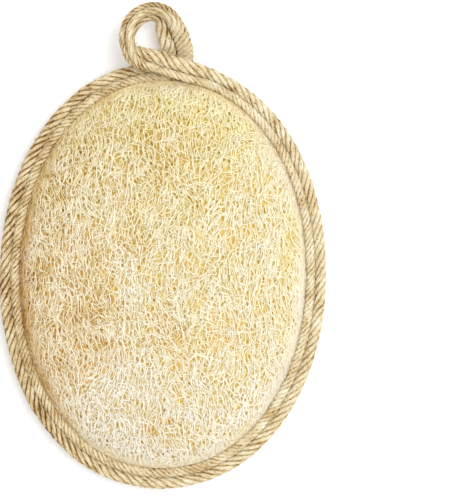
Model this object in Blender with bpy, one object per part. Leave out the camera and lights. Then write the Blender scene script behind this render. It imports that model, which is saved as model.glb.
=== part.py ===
"""Oval natural loofah bath pad, lying face up.

A flattened mat of loofah fibre is backed with terry cloth. A tape of twisted jute cords is folded
over the edge of both, and its free end makes the hanging loop. An elastic hand strap runs across
the back. The pad bows a little over the strap, which leaves room for fingers between the two.

Units are metres, +Z is up, +X is across the pad and +Y runs towards the hanging loop. The origin
is below the middle of the whole object's box, on the surface that the pad lies on.
"""

import math
import random

import bmesh
import bpy
import numpy as np
from mathutils import Vector
from mathutils.geometry import delaunay_2d_cdt

MM = 0.001
SHARP_ANGLE = math.radians(40)

# The pad's outline is a slightly squared oval
PAD_WIDTH = 130 * MM
PAD_LENGTH = 170 * MM
SQUARENESS = 2.14
LOOP_REACH = 23.5 * MM
PAD_CENTRE = Vector((0, -LOOP_REACH / 2, 0))

# The jute edge binding, a tape folded over the edge
RIM_WIDTH = 8.4 * MM
RIM_HEIGHT = 8.6 * MM
RIM_STATIONS = 132
CORD_RELIEF = 0.4 * MM
CORD_LOBE_STATIONS = 3
CHANNEL_BOTTOM = 4.8 * MM
CHANNEL_FLOOR = 3.4 * MM
CHANNEL_CEILING = 6.5 * MM
STRAP_SLOT_FLOOR = 2.2 * MM
STRAP_SLOT_RAMP = (16 * MM, 20 * MM)
CLEARANCE = 0.3 * MM

# The loofah mat
EDGE_INSET = 5.2 * MM
LIP_INSET = 8.9 * MM
LOOFAH_EDGE_UNDER = 4.8 * MM
LOOFAH_EDGE_TOP = 6.2 * MM
PUFF_HEIGHT = 6.0 * MM
PUFF_RUN = 5.0 * MM
DOME_HEIGHT = 12.0 * MM
ARCH_HEIGHT = 8.8 * MM
ARCH_POWER = 2.6
OUTLINE_POINTS = 64
LAYER_RINGS = (1.0, 0.9, 0.7, 0.4)

# The net of fibres on the loofah's face, drawn larger than life
NET_SPACING = (4.7 * MM, 6.4 * MM)
NET_JITTER = 0.42
NET_SEED = 11
NET_EDGE_SHARE = 0.955
NET_SHARPEST_CORNER = 0.12
STRAND_HALF_WIDTH = 0.75 * MM
PIT_DEPTH = 1.7 * MM
PIT_FLOOR_SHARE = (0.38, 0.72)
CREST_WANDER = 0.45 * MM

# The terry cloth backing
TERRY_EDGE_THICKNESS = 0.8 * MM
TERRY_THICKNESS = 2.0 * MM
TERRY_LOFT_RUN = 6.0 * MM
LAYER_GAP = 0.35 * MM

# The elastic hand strap
STRAP_WIDTH = 25.4 * MM
STRAP_THICKNESS = 0.9 * MM
STRAP_UNDER = STRAP_SLOT_FLOOR + CLEARANCE
STRAP_HALF_LENGTH = 59.2 * MM

# The seam thread that lies in the furrow between the binding's cords
FURROW_INSET = 4.3 * MM
FRONT_FURROW = 7.2 * MM
BACK_FURROW = 1.4 * MM
THREAD_DIAMETER = 0.8 * MM
THREAD_SIDES = 3
THREAD_GAP_FACE = (-21 * MM, 29 * MM)
THREAD_GAP_BACK = (-7 * MM, 16 * MM)

# The hanging loop, the binding tape's free end, folded double
LOOP_STATIONS = 48
LOOP_BED = (-15.5 * MM, 24.0 * MM)
LOOP_BED_TOP = 7.25 * MM
LOOP_TUCK = (-2.4 * MM, 11.4 * MM)
LOOP_TUCK_TOP = 2.2 * MM
LOOP_RAMP = 4.0 * MM

# Half of the loop's section, two cords side by side, as shares of its width and thickness
TAPE_SECTION = ((-0.5, 0.0), (-0.43, 0.36), (-0.25, 0.5), (0.0, 0.3), (0.25, 0.5), (0.43, 0.36))


def clear_scene():
    for obj in list(bpy.data.objects):
        bpy.data.objects.remove(obj, do_unlink=True)


def make_material(name, colour, roughness):
    material = bpy.data.materials.new(name)
    material.use_nodes = True
    shader = material.node_tree.nodes["Principled BSDF"]
    shader.inputs["Base Color"].default_value = (*colour, 1.0)
    shader.inputs["Roughness"].default_value = roughness
    shader.inputs["Metallic"].default_value = 0.0
    return material


def add_object(name, bm, material):
    """Turns a bmesh into a named object at the pad's centre."""
    bmesh.ops.recalc_face_normals(bm, faces=bm.faces)
    mesh = bpy.data.meshes.new(name)
    bm.to_mesh(mesh)
    bm.free()
    mesh.shade_smooth()
    mesh.set_sharp_from_angle(angle=SHARP_ANGLE)
    obj = bpy.data.objects.new(name, mesh)
    obj.location = PAD_CENTRE
    obj.data.materials.append(material)
    bpy.context.scene.collection.objects.link(obj)
    return obj


def oval_share(x, y, inset):
    """How far (x, y) lies towards the oval drawn that far inside the edge: 0 at its middle, 1 on it."""
    a = PAD_WIDTH / 2 - inset
    b = PAD_LENGTH / 2 - inset
    return (abs(x / a) ** SQUARENESS + abs(y / b) ** SQUARENESS) ** (1 / SQUARENESS)


def oval_point(angle, inset):
    """The point in that direction on the oval drawn that far inside the edge."""
    c, s = math.cos(angle), math.sin(angle)
    reach = 1 / oval_share(c, s, inset)
    return c * reach, s * reach


def oval_angle_at(x, inset):
    """The direction of that oval's point at x on the loop's side."""
    a = PAD_WIDTH / 2 - inset
    b = PAD_LENGTH / 2 - inset
    return math.atan2(b * (1 - abs(x / a) ** SQUARENESS) ** (1 / SQUARENESS), x)


def oval_angles(count):
    """Directions whose points on the oval are evenly spaced, from the foot end round."""
    fine = np.linspace(-math.pi / 2, 3 * math.pi / 2, 8 * 360 + 1)
    points = np.array([oval_point(angle, 0) for angle in fine])
    steps = np.hypot(*np.diff(points, axis=0).T)
    along = np.concatenate([[0], np.cumsum(steps)])
    return np.interp(np.arange(count) * along[-1] / count, along, fine)


def lip_depth(x, y):
    """Roughly how far (x, y) lies inside the lip of the binding, 0 on or beyond it."""
    share = oval_share(x, y, LIP_INSET)
    reach = math.hypot(x, y) / share if share > 1e-6 else PAD_WIDTH / 2
    return max(0.0, (1 - share) * reach)


def loofah_top(x, y):
    """Height of the loofah's face: a quick puff just inside the binding, then a low dome."""
    share = min(1.0, oval_share(x, y, LIP_INSET))
    puff = PUFF_HEIGHT * (1 - math.exp(-lip_depth(x, y) / PUFF_RUN))
    return LOOFAH_EDGE_TOP + puff + DOME_HEIGHT * (1 - share**2)


def loofah_under(x, y):
    """Height of the loofah's underside, which bows up over the hand strap."""
    share = min(1.0, oval_share(x, y, LIP_INSET))
    return LOOFAH_EDGE_UNDER + ARCH_HEIGHT * (1 - share**ARCH_POWER)


def terry_top(x, y):
    return loofah_under(x, y) - LAYER_GAP


def terry_under(x, y):
    loft = 1 - math.exp(-lip_depth(x, y) / TERRY_LOFT_RUN)
    thickness = TERRY_EDGE_THICKNESS + (TERRY_THICKNESS - TERRY_EDGE_THICKNESS) * loft
    return terry_top(x, y) - thickness


def bridge(bm, first, second):
    """Faces between two rings of points that run the same way round."""
    for i, _ in enumerate(first):
        j = (i + 1) % len(first)
        bm.faces.new((first[i], first[j], second[j], second[i]))


def add_layer_surface(bm, height):
    """One face of a layer as rings of points round its middle. Returns the outermost ring."""
    angles = oval_angles(OUTLINE_POINTS)
    rings = []
    for share in LAYER_RINGS:
        flat = [oval_point(angle, EDGE_INSET) for angle in angles]
        flat = [(x * share, y * share) for x, y in flat]
        rings.append([bm.verts.new((x, y, height(x, y))) for x, y in flat])
    for outer, inner in zip(rings, rings[1:]):
        bridge(bm, outer, inner)
    middle = bm.verts.new((0, 0, height(0, 0)))
    last = rings[-1]
    for i, _ in enumerate(last):
        bm.faces.new((last[i], last[(i + 1) % len(last)], middle))
    return rings[0]


def net_points():
    """Where the loofah's strands cross: the lip's outline, then a shaken grid inside it."""
    points = [oval_point(angle, LIP_INSET) for angle in oval_angles(OUTLINE_POINTS)]
    draw = random.Random(NET_SEED)
    step_x, step_y = NET_SPACING
    rows = int(PAD_LENGTH / step_y)
    columns = int(PAD_WIDTH / step_x)
    for row in range(-rows // 2, rows // 2 + 1):
        for column in range(-columns // 2, columns // 2 + 1):
            x = (column + 0.5 * (row % 2) + draw.uniform(-NET_JITTER, NET_JITTER)) * step_x
            y = (row + draw.uniform(-NET_JITTER, NET_JITTER)) * step_y
            if oval_share(x, y, LIP_INSET) < NET_EDGE_SHARE:
                points.append((x, y))
    return points


def is_convex(corners):
    for i, _ in enumerate(corners):
        a, b, c = (corners[(i + k) % len(corners)] for k in range(3))
        if (b - a).cross(c - b) <= NET_SHARPEST_CORNER * (b - a).length * (c - b).length:
            return False
    return True


def net_cells(points):
    """The gaps between strands as lists of point numbers: triangles, many joined in pairs."""
    flat = [Vector(p) for p in points]
    _, _, triangles, origins, _, _ = delaunay_2d_cdt(flat, [], [], 0, 1e-9)
    triangles = [[origins[i][0] for i in triangle] for triangle in triangles]
    beside = {}
    for number, triangle in enumerate(triangles):
        for k in range(3):
            beside[(triangle[k], triangle[(k + 1) % 3])] = number
    pairs = [pair for pair in sorted(beside) if (pair[1], pair[0]) in beside and pair[0] < pair[1]]
    random.Random(NET_SEED).shuffle(pairs)
    taken, cells = set(), []
    for a, b in pairs:
        first, second = beside[(a, b)], beside[(b, a)]
        if first in taken or second in taken:
            continue
        tip = next(i for i in triangles[first] if i not in (a, b))
        foot = next(i for i in triangles[second] if i not in (a, b))
        cell = [a, foot, b, tip]
        if is_convex([flat[i] for i in cell]):
            cells.append(cell)
            taken |= {first, second}
    cells += [triangle for number, triangle in enumerate(triangles) if number not in taken]
    return cells


def add_cell(bm, corners):
    """One gap of the net: its sides slope from the strands' crests down to a small floor."""
    middle = sum((v.co for v in corners), Vector()) / len(corners)
    half = min((v.co - middle).length for v in corners) / 2
    least, most = PIT_FLOOR_SHARE
    keep = min(most, max(least, 1 - STRAND_HALF_WIDTH / half))
    floor = []
    for v in corners:
        at = middle.lerp(v.co, keep)
        at.z = middle.z - PIT_DEPTH
        floor.append(bm.verts.new(at))
    bridge(bm, corners, floor)
    bm.faces.new(floor)


def build_loofah(material):
    """The mat: its net-covered face, the thin edge held in the binding, and its arched underside."""
    bm = bmesh.new()
    draw = random.Random(NET_SEED)
    points = net_points()
    crests = []
    for number, (x, y) in enumerate(points):
        wander = draw.uniform(-CREST_WANDER, CREST_WANDER) if number >= OUTLINE_POINTS else 0
        crests.append(bm.verts.new((x, y, loofah_top(x, y) + wander)))
    for cell in net_cells(points):
        add_cell(bm, [crests[i] for i in cell])
    under = add_layer_surface(bm, loofah_under)
    edge = [bm.verts.new((v.co.x, v.co.y, LOOFAH_EDGE_TOP)) for v in under]
    bridge(bm, crests[:OUTLINE_POINTS], edge)
    bridge(bm, edge, under)
    return add_object("loofah_mat", bm, material)


def build_terry(material):
    bm = bmesh.new()
    bridge(bm, add_layer_surface(bm, terry_top), add_layer_surface(bm, terry_under))
    return add_object("terry_backing", bm, material)


def ramp(value, start, end):
    """0 below start, 1 above end, straight between them."""
    return min(1.0, max(0.0, (value - start) / (end - start)))


def plateau(value, low, high):
    """1 from low to high, fading to 0 over a ramp beyond each."""
    return min(ramp(value, low - LOOP_RAMP, low), ramp(-value, -high - LOOP_RAMP, -high))


def rim_section(x, y, station):
    """The binding's cross-section there, as (inset, height) corners, from the outermost round.

    Four cords show as four ribs, two on the face and two on the back, and each rib swells and
    shrinks along the edge as the cords' strands turn. The channel in the inner side holds the
    pad's edge. Its floor drops where the strap goes in. The loop presses the face down where it
    starts, and the back up where it is tucked in.
    """
    floor = STRAP_SLOT_FLOOR
    floor += (CHANNEL_FLOOR - STRAP_SLOT_FLOOR) * ramp(abs(y), *STRAP_SLOT_RAMP)
    pressed = plateau(x, *LOOP_BED) if y > 0 else 0
    lift = LOOP_TUCK_TOP * plateau(x, *LOOP_TUCK) if y > 0 else 0

    def swell(lag):
        turn = (station - lag) / CORD_LOBE_STATIONS
        return CORD_RELIEF * math.cos(2 * math.pi * turn)

    def face(height):
        return height - pressed * max(0, height - LOOP_BED_TOP)

    top = RIM_HEIGHT - CORD_RELIEF
    return (
        (0.5 * MM, 4.3 * MM),
        (CORD_RELIEF - swell(1.0), 6.2 * MM),
        (1.2 * MM - swell(0.5), face(7.8 * MM)),
        (2.4 * MM, face(top + swell(0.0))),
        (FURROW_INSET, face(FRONT_FURROW)),
        (6.2 * MM, face(top + swell(1.5))),
        (7.9 * MM, face(7.6 * MM + swell(0.9))),
        (RIM_WIDTH, CHANNEL_CEILING),
        (CHANNEL_BOTTOM, CHANNEL_CEILING),
        (CHANNEL_BOTTOM, floor),
        (RIM_WIDTH, floor),
        (7.9 * MM, max(1.1 * MM + swell(1.5), lift)),
        (6.2 * MM, max(CORD_RELIEF + swell(0.9), lift)),
        (FURROW_INSET, max(BACK_FURROW, lift)),
        (3.3 * MM, lift),
        (1.4 * MM, lift),
        (CORD_RELIEF - swell(2.0), max(2.4 * MM, lift + 0.7 * MM)),
    )


def close_tube(bm, rings):
    """Skin over a row of rings, with a cap at both ends."""
    for ring, following in zip(rings, rings[1:]):
        bridge(bm, ring, following)
    bm.faces.new(rings[0])
    bm.faces.new(rings[-1])


def build_binding(material):
    bm = bmesh.new()
    rings = []
    for station, angle in enumerate(oval_angles(RIM_STATIONS)):
        x, y = oval_point(angle, 0)
        corners = rim_section(x, y, station)
        rings.append([bm.verts.new((*oval_point(angle, inset), z)) for inset, z in corners])
    for ring, following in zip(rings, rings[1:] + rings[:1]):
        bridge(bm, ring, following)
    return add_object("edge_binding", bm, material)


def build_strap(material):
    """A flat webbing, thinner at its woven edges, with both ends inside the binding."""
    half = STRAP_WIDTH / 2
    edge = 0.6 * MM
    thin = 0.25 * MM
    section = (
        (-half, thin),
        (-half + edge, 0),
        (half - edge, 0),
        (half, thin),
        (half, STRAP_THICKNESS - thin),
        (half - edge, STRAP_THICKNESS),
        (-half + edge, STRAP_THICKNESS),
        (-half, STRAP_THICKNESS - thin),
    )
    bm = bmesh.new()
    ends = []
    for x in (-STRAP_HALF_LENGTH, STRAP_HALF_LENGTH):
        ends.append([bm.verts.new((x, y, STRAP_UNDER + z)) for y, z in section])
    close_tube(bm, ends)
    return add_object("hand_strap", bm, material)


def build_thread(name, height, gap, material):
    """One line of the seam, laid in the furrow between two cords. It ends at the loop's two sides."""
    start, end = (oval_angle_at(x, FURROW_INSET) for x in gap)
    bm = bmesh.new()
    rings = []
    for angle in np.linspace(start, end + 2 * math.pi, OUTLINE_POINTS):
        ring = []
        for side in range(THREAD_SIDES):
            turn = 2 * math.pi * (side + 0.25) / THREAD_SIDES
            inset = FURROW_INSET + THREAD_DIAMETER / 2 * math.cos(turn)
            z = height + THREAD_DIAMETER / 2 * math.sin(turn)
            ring.append(bm.verts.new((*oval_point(angle, inset), z)))
        rings.append(ring)
    close_tube(bm, rings)
    return add_object(name, bm, material)


def loop_route():
    """The folded tape's middle line, the way its inner face looks, and its width and thickness.

    It leaves the binding's face, curls up at the left, rolls on edge over the top and comes down
    behind at the right, where it is pressed flat under the binding's back.
    """
    route = (
        # x, y, z, inner face x, y, z, width, thickness
        (22.0, 76.5, 8.15, 0.0, 0.0, 1.0, 8.0, 1.0),
        (16.0, 78.7, 8.45, 0.0, 0.0, 1.0, 8.4, 1.5),
        (9.5, 80.4, 8.9, 0.0, 0.0, 1.0, 8.8, 2.2),
        (3.0, 82.2, 9.6, 0.0, 0.0, 1.0, 9.0, 3.2),
        (-3.5, 84.0, 10.4, 0.0, 0.05, 1.0, 9.2, 4.0),
        (-9.3, 85.7, 12.1, 0.35, 0.2, 1.0, 9.2, 4.8),
        (-13.6, 88.8, 13.8, 0.9, 0.2, 0.3, 9.2, 5.4),
        (-15.1, 94.0, 14.2, 0.98, 0.0, 0.12, 9.2, 5.6),
        (-14.1, 99.2, 13.8, 0.9, -0.35, 0.15, 9.2, 5.6),
        (-10.4, 103.3, 12.6, 0.6, -0.75, 0.22, 9.2, 5.6),
        (-5.0, 105.3, 11.2, 0.1, -0.95, 0.3, 9.4, 5.6),
        (0.6, 104.1, 9.4, -0.3, -0.75, 0.5, 10.2, 5.4),
        (4.0, 99.4, 7.0, -0.2, -0.35, 0.95, 11.4, 5.0),
        (4.8, 93.0, 4.2, 0.0, 0.2, 1.0, 12.0, 4.2),
        (4.6, 87.2, 1.6, 0.0, 0.12, 1.0, 12.0, 2.4),
        (4.5, 81.6, 0.96, 0.0, 0.0, 1.0, 12.0, 1.84),
        (4.5, 76.9, 0.95, 0.0, 0.0, 1.0, 11.6, 1.84),
    )
    table = np.array(route)
    table[:, [0, 1, 2, 6, 7]] *= MM
    return table


def smooth_rows(table, count):
    """Rows read evenly from a Catmull-Rom curve through the table's rows."""
    padded = np.vstack([2 * table[0] - table[1], table, 2 * table[-1] - table[-2]])
    rows = []
    for at in np.linspace(0, len(table) - 1, count):
        i = min(int(at), len(table) - 2)
        t = at - i
        a, b, c, d = padded[i : i + 4]
        square = 2 * a - 5 * b + 4 * c - d
        cube = 3 * b - a - 3 * c + d
        rows.append(0.5 * (2 * b + (c - a) * t + square * t**2 + cube * t**3))
    return np.array(rows)


def build_loop(material):
    rows = smooth_rows(loop_route(), LOOP_STATIONS)
    section = TAPE_SECTION + tuple((-w, -t) for w, t in TAPE_SECTION)
    bm = bmesh.new()
    rings = []
    for station, row in enumerate(rows):
        before, after = rows[max(0, station - 1)], rows[min(len(rows) - 1, station + 1)]
        tangent = Vector(after[:3] - before[:3]).normalized()
        normal = Vector(row[3:6])
        normal = (normal - tangent * normal.dot(tangent)).normalized()
        across = tangent.cross(normal)
        width, thickness = row[6:]
        middle = Vector(row[:3])
        corners = (middle + across * w * width + normal * t * thickness for w, t in section)
        rings.append([bm.verts.new(corner) for corner in corners])
    close_tube(bm, rings)
    return add_object("hanging_loop", bm, material)


def main():
    clear_scene()
    fibre = make_material("loofah_fibre", (0.87, 0.72, 0.42), 0.8)
    jute = make_material("jute_cord", (0.60, 0.48, 0.30), 0.85)
    terry = make_material("cotton_terry", (0.88, 0.84, 0.74), 0.95)
    elastic = make_material("elastic_webbing", (0.72, 0.70, 0.71), 0.7)
    thread = make_material("cotton_thread", (0.85, 0.80, 0.66), 0.8)
    build_loofah(fibre)
    build_terry(terry)
    build_binding(jute)
    build_loop(jute)
    build_strap(elastic)
    lift = CLEARANCE + THREAD_DIAMETER / 2
    build_thread("seam_thread_face", FRONT_FURROW + lift, THREAD_GAP_FACE, thread)
    build_thread("seam_thread_back", BACK_FURROW - lift, THREAD_GAP_BACK, thread)


main()
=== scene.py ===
"""Oval natural loofah bath pad: finished surfaces, soft studio light and camera.

The pad lies face up with its hanging loop towards +Y. Its loofah face is a pitted ground under
four layers of crisp fibres. The binding and the loop are cords of five twisted jute strands.
The terry cloth and the elastic strap are on the side that it lies on.

Units are metres. Shapes are worked out round the pad's centre and then moved to its place.
"""

import math
from functools import partial

import bpy
import numpy as np
from bpy.props import FloatProperty, FloatVectorProperty, IntProperty, PointerProperty
from mathutils import Matrix, Vector


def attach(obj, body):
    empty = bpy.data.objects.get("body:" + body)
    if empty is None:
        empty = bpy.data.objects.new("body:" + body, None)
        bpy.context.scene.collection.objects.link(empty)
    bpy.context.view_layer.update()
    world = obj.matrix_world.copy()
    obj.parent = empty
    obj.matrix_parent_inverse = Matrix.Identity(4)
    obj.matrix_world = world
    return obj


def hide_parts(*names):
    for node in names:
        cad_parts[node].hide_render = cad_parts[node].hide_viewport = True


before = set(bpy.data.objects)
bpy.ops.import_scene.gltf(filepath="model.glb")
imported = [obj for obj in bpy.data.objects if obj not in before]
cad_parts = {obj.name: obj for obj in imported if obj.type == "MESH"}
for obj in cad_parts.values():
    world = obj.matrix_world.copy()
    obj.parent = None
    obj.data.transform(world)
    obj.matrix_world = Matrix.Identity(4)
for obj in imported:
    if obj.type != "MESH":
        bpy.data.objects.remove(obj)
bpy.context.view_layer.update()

bl_info = {
    "name": "Natural loofah bath pad",
    "version": (1, 0, 0),
    "blender": (4, 5, 0),
    "location": "View3D > Sidebar > Loofah pad",
    "description": "Builds the fibres, jute cords, terry cloth and strap of an oval loofah pad",
    "category": "Object",
}

MM = 0.001
BODY = "root"

# The pad's outline is a slightly squared oval
PAD_WIDTH = 130 * MM
PAD_LENGTH = 170 * MM
SQUARENESS = 2.08
PAD_CENTRE = np.array((0, -11.75 * MM, 0))

# The loofah mat's surfaces, measured inwards from the outline
EDGE_INSET = 5.2 * MM
LIP_INSET = 8.9 * MM
LOOFAH_EDGE_UNDER = 4.8 * MM
LOOFAH_EDGE_TOP = 6.2 * MM
PUFF_HEIGHT = 6.0 * MM
PUFF_RUN = 5.0 * MM
DOME_HEIGHT = 12.0 * MM
ARCH_HEIGHT = 8.8 * MM
ARCH_POWER = 2.6

# The terry cloth backing
TERRY_EDGE_THICKNESS = 0.8 * MM
TERRY_THICKNESS = 2.0 * MM
TERRY_LOFT_RUN = 6.0 * MM
LAYER_GAP = 0.35 * MM

# The elastic hand strap
STRAP_WIDTH = 25.4 * MM
STRAP_THICKNESS = 0.9 * MM
STRAP_UNDER = 2.5 * MM
STRAP_HALF_LENGTH = 59.2 * MM

# Where the loop presses the binding down on the face, and is tucked under it on the back
LOOP_BED = (-15.5 * MM, 24.0 * MM)
LOOP_BED_TOP = 7.25 * MM
LOOP_TUCK = (-2.4 * MM, 11.4 * MM)
LOOP_TUCK_TOP = 2.2 * MM
LOOP_RAMP = 4.0 * MM

# A laid cord: strands wound round each other
STRANDS = 5
HELIX = 1.25 * MM
STRAND_RADIUS = 1.09 * MM
CORD_RADIUS = HELIX + STRAND_RADIUS


def linear(code):
    """A colour written as six sRGB hex digits, as the linear values that shaders take."""
    values = []
    for start in (0, 2, 4):
        value = int(code[start : start + 2], 16) / 255
        values.append(value / 12.92 if value <= 0.04045 else ((value + 0.055) / 1.055) ** 2.4)
    return (*values, 1.0)


def fill(tree, node, feeds):
    """Gives a node's inputs, by name or in their order, a value or a link."""
    for name, value in feeds.items() if isinstance(feeds, dict) else enumerate(feeds):
        if isinstance(name, int):
            socket = node.inputs[name]
        else:
            socket = next(s for s in node.inputs if s.name == name and s.enabled)
        if isinstance(value, bpy.types.Node):
            value = next(s for s in value.outputs if s.enabled)
        if isinstance(value, bpy.types.NodeSocket):
            tree.links.new(value, socket)
        else:
            socket.default_value = value


def add_node(tree, kind, feeds=(), stops=(), **settings):
    """Adds a node with its settings, its inputs and, on a colour ramp, its stops. The colour of a
    stop is six hex digits or a colour property."""
    node = tree.nodes.new(kind)
    for name, value in settings.items():
        setattr(node, name, value)
    if stops:
        elements = node.color_ramp.elements
        while len(elements) < len(stops):
            elements.new(0.5)
        for element, (place, colour) in zip(elements, stops):
            element.position = place
            element.color = linear(colour) if isinstance(colour, str) else (*colour, 1.0)
    fill(tree, node, feeds)
    return node


def new_tree(name, inputs):
    """A geometry tree with these inputs, by name with their usual value. Returns it, the function
    that adds nodes to it, and its inputs."""
    tree = bpy.data.node_groups.new(name, "GeometryNodeTree")
    for way in ("OUTPUT", "INPUT"):
        tree.interface.new_socket("Geometry", in_out=way, socket_type="NodeSocketGeometry")
    for label, usual in inputs.items():
        kind = "NodeSocketInt" if isinstance(usual, int) else "NodeSocketFloat"
        tree.interface.new_socket(label, in_out="INPUT", socket_type=kind).default_value = usual
    tree.nodes.new("NodeGroupOutput")
    return tree, partial(add_node, tree), add_node(tree, "NodeGroupInput").outputs


def end_tree(tree, geometry, material):
    """Every tree ends with its instances made real and its material set."""
    real = add_node(tree, "GeometryNodeRealizeInstances", {"Geometry": geometry})
    done = add_node(tree, "GeometryNodeSetMaterial", {"Geometry": real, "Material": material})
    output = next(node for node in tree.nodes if node.bl_idname == "NodeGroupOutput")
    tree.links.new(done.outputs[0], output.inputs[0])
    return tree


def grow(guide, tree, values=()):
    """Runs a tree on a guide object with these inputs, and returns the result as a plain mesh."""
    modifier = guide.modifiers.new(tree.name, "NODES")
    modifier.node_group = tree
    for item in tree.interface.items_tree:
        if item.item_type == "SOCKET" and item.in_out == "INPUT" and item.name in values:
            modifier[item.identifier] = values[item.name]
    depsgraph = bpy.context.evaluated_depsgraph_get()
    mesh = bpy.data.meshes.new_from_object(
        guide.evaluated_get(depsgraph), preserve_all_data_layers=True, depsgraph=depsgraph
    )
    guide.modifiers.remove(modifier)
    bpy.data.objects.remove(guide, do_unlink=True)
    return mesh


def add_object(name, mesh):
    mesh.name = name
    obj = bpy.data.objects.new(name, mesh)
    bpy.context.scene.collection.objects.link(obj)
    return obj


def add_piece(name, mesh, node):
    """A finished piece of the pad, which rides on its body and replaces a node."""
    obj = add_object(name, mesh)
    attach(obj, BODY)
    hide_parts(node)
    return obj


def new_mesh(name, points, faces=(), edges=()):
    """A mesh whose points are given round the pad's centre."""
    mesh = bpy.data.meshes.new(name)
    mesh.from_pydata([tuple(p) for p in np.asarray(points) + PAD_CENTRE], list(edges), list(faces))
    mesh.update()
    return mesh


def set_attribute(mesh, name, values):
    """Stores one number or one vector a point."""
    values = np.asarray(values, dtype=np.float32)
    kind, field = ("FLOAT", "value") if values.ndim == 1 else ("FLOAT_VECTOR", "vector")
    mesh.attributes.new(name, kind, "POINT").data.foreach_set(field, values.ravel())


def oval_share(x, y, inset):
    """How far (x, y) lies towards the oval that far inside the edge: 0 at its middle, 1 on it."""
    a = PAD_WIDTH / 2 - inset
    b = PAD_LENGTH / 2 - inset
    return (np.abs(x / a) ** SQUARENESS + np.abs(y / b) ** SQUARENESS) ** (1 / SQUARENESS)


def oval_points(angles, inset):
    """The points in those directions on the oval that far inside the edge, as x and y."""
    c, s = np.cos(angles), np.sin(angles)
    reach = 1 / oval_share(c, s, inset)
    return c * reach, s * reach


def oval_angle_at(x, inset):
    """The direction of that oval's point at x on the loop's side."""
    a = PAD_WIDTH / 2 - inset
    b = PAD_LENGTH / 2 - inset
    return math.atan2(b * (1 - abs(x / a) ** SQUARENESS) ** (1 / SQUARENESS), x)


def oval_angles(count, start=-math.pi / 2, end=1.5 * math.pi, closed=True):
    """Directions from start to end whose points on the oval are evenly spaced."""
    fine = np.linspace(start, end, 3601)
    along = np.concatenate([[0], np.cumsum(np.hypot(*np.diff(oval_points(fine, 0))))])
    steps = np.arange(count) / (count if closed else count - 1)
    return np.interp(steps * along[-1], along, fine)


def lip_depth(x, y):
    """Roughly how far (x, y) lies inside the lip of the binding, 0 on or beyond it."""
    share = np.maximum(oval_share(x, y, LIP_INSET), 1e-6)
    reach = np.where(share > 1e-5, np.hypot(x, y) / share, PAD_WIDTH / 2)
    return np.maximum(0, (1 - share) * reach)


def loofah_top(x, y):
    share = np.minimum(1, oval_share(x, y, LIP_INSET))
    puff = PUFF_HEIGHT * (1 - np.exp(-lip_depth(x, y) / PUFF_RUN))
    return LOOFAH_EDGE_TOP + puff + DOME_HEIGHT * (1 - share**2)


def loofah_under(x, y):
    share = np.minimum(1, oval_share(x, y, LIP_INSET))
    return LOOFAH_EDGE_UNDER + ARCH_HEIGHT * (1 - share**ARCH_POWER)


def terry_top(x, y):
    return loofah_under(x, y) - LAYER_GAP


def terry_under(x, y):
    loft = 1 - np.exp(-lip_depth(x, y) / TERRY_LOFT_RUN)
    thickness = TERRY_EDGE_THICKNESS + (TERRY_THICKNESS - TERRY_EDGE_THICKNESS) * loft
    return terry_top(x, y) - thickness


def ring_faces(rings, count, last):
    """Faces over rings of points, closed with a fan round the first point and one round the last."""
    index = np.arange(count)
    after = (index + 1) % count
    faces = [(0, a, b) for a, b in zip(1 + index, 1 + after)]
    for ring in range(rings - 1):
        inner = 1 + ring * count
        outer = inner + count
        faces += zip(inner + index, outer + index, outer + after, inner + after)
    if last is not None:
        outer = 1 + (rings - 1) * count
        faces += [(a, last, b) for a, b in zip(outer + index, outer + after)]
    return [tuple(int(i) for i in face) for face in faces]


def layer_mesh(name, upper, lower, upper_shares, lower_shares, count):
    """A layer as rings over its upper face, round its edge and back under its lower face."""
    ox, oy = oval_points(oval_angles(count), EDGE_INSET)
    rows = [(share, upper) for share in upper_shares]
    if lower is not None:
        rows += [(share, lower) for share in reversed(lower_shares)]
    points = [[(0, 0, float(upper(0.0, 0.0)))]]
    for share, height in rows:
        x, y = ox * share, oy * share
        points.append(np.column_stack([x, y, height(x, y)]))
    last = None
    if lower is not None:
        last = 1 + len(rows) * count
        points.append([(0, 0, float(lower(0.0, 0.0)))])
    faces = ring_faces(len(rows), count, last)
    return new_mesh(name, np.vstack(points), faces)


def ramp(value, start, end):
    """0 below start, 1 above end, straight between them."""
    return np.clip((value - start) / (end - start), 0, 1)


def smooth(value):
    return value * value * (3 - 2 * value)


def plateau(value, low, high, run=LOOP_RAMP):
    """1 from low to high, fading smoothly to 0 over a run beyond each."""
    return smooth(np.minimum(ramp(value, low - run, low), ramp(-value, -high - run, -high)))


# Jute cords: their paths, and the tree that winds their strands


def unit(rows):
    return rows / np.linalg.norm(rows, axis=1, keepdims=True)


class CordPath:
    """A cord's middle line with its upward direction, and how far its section is squashed."""

    def __init__(self, at, up, squash, spread, closed=False, ease=0):
        self.at = np.asarray(at, dtype=float)
        before = np.roll(self.at, 1, axis=0)
        after = np.roll(self.at, -1, axis=0)
        if not closed:
            before[0], after[-1] = self.at[0], self.at[-1]
        along = unit(after - before)
        up = np.asarray(up, dtype=float)
        self.up = unit(up - along * np.sum(up * along, axis=1, keepdims=True))
        self.across = np.cross(along, self.up)
        self.squash = np.asarray(squash, dtype=float)
        self.spread = np.asarray(spread, dtype=float)
        self.ease = np.zeros(len(self.at)) + ease

    def turns(self, pitch):
        """How often the strands have gone round at each point, slower where the lay eases."""
        steps = np.linalg.norm(np.diff(self.at, axis=0), axis=1)
        steps = steps / (pitch * (1 + 1.2 * self.ease[1:]))
        return np.concatenate([[0], np.cumsum(steps)])


def line_guide(name, lines, columns):
    """Edges along lines of points, with attributes whose values are given line by line."""
    edges = []
    first = 0
    for line in lines:
        edges += [(first + i, first + i + 1) for i in range(len(line) - 1)]
        first += len(line)
    mesh = new_mesh(name, np.vstack(lines), edges=edges)
    for label, values in columns.items():
        set_attribute(mesh, label, np.concatenate(values))
    return add_object(name, mesh)


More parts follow.
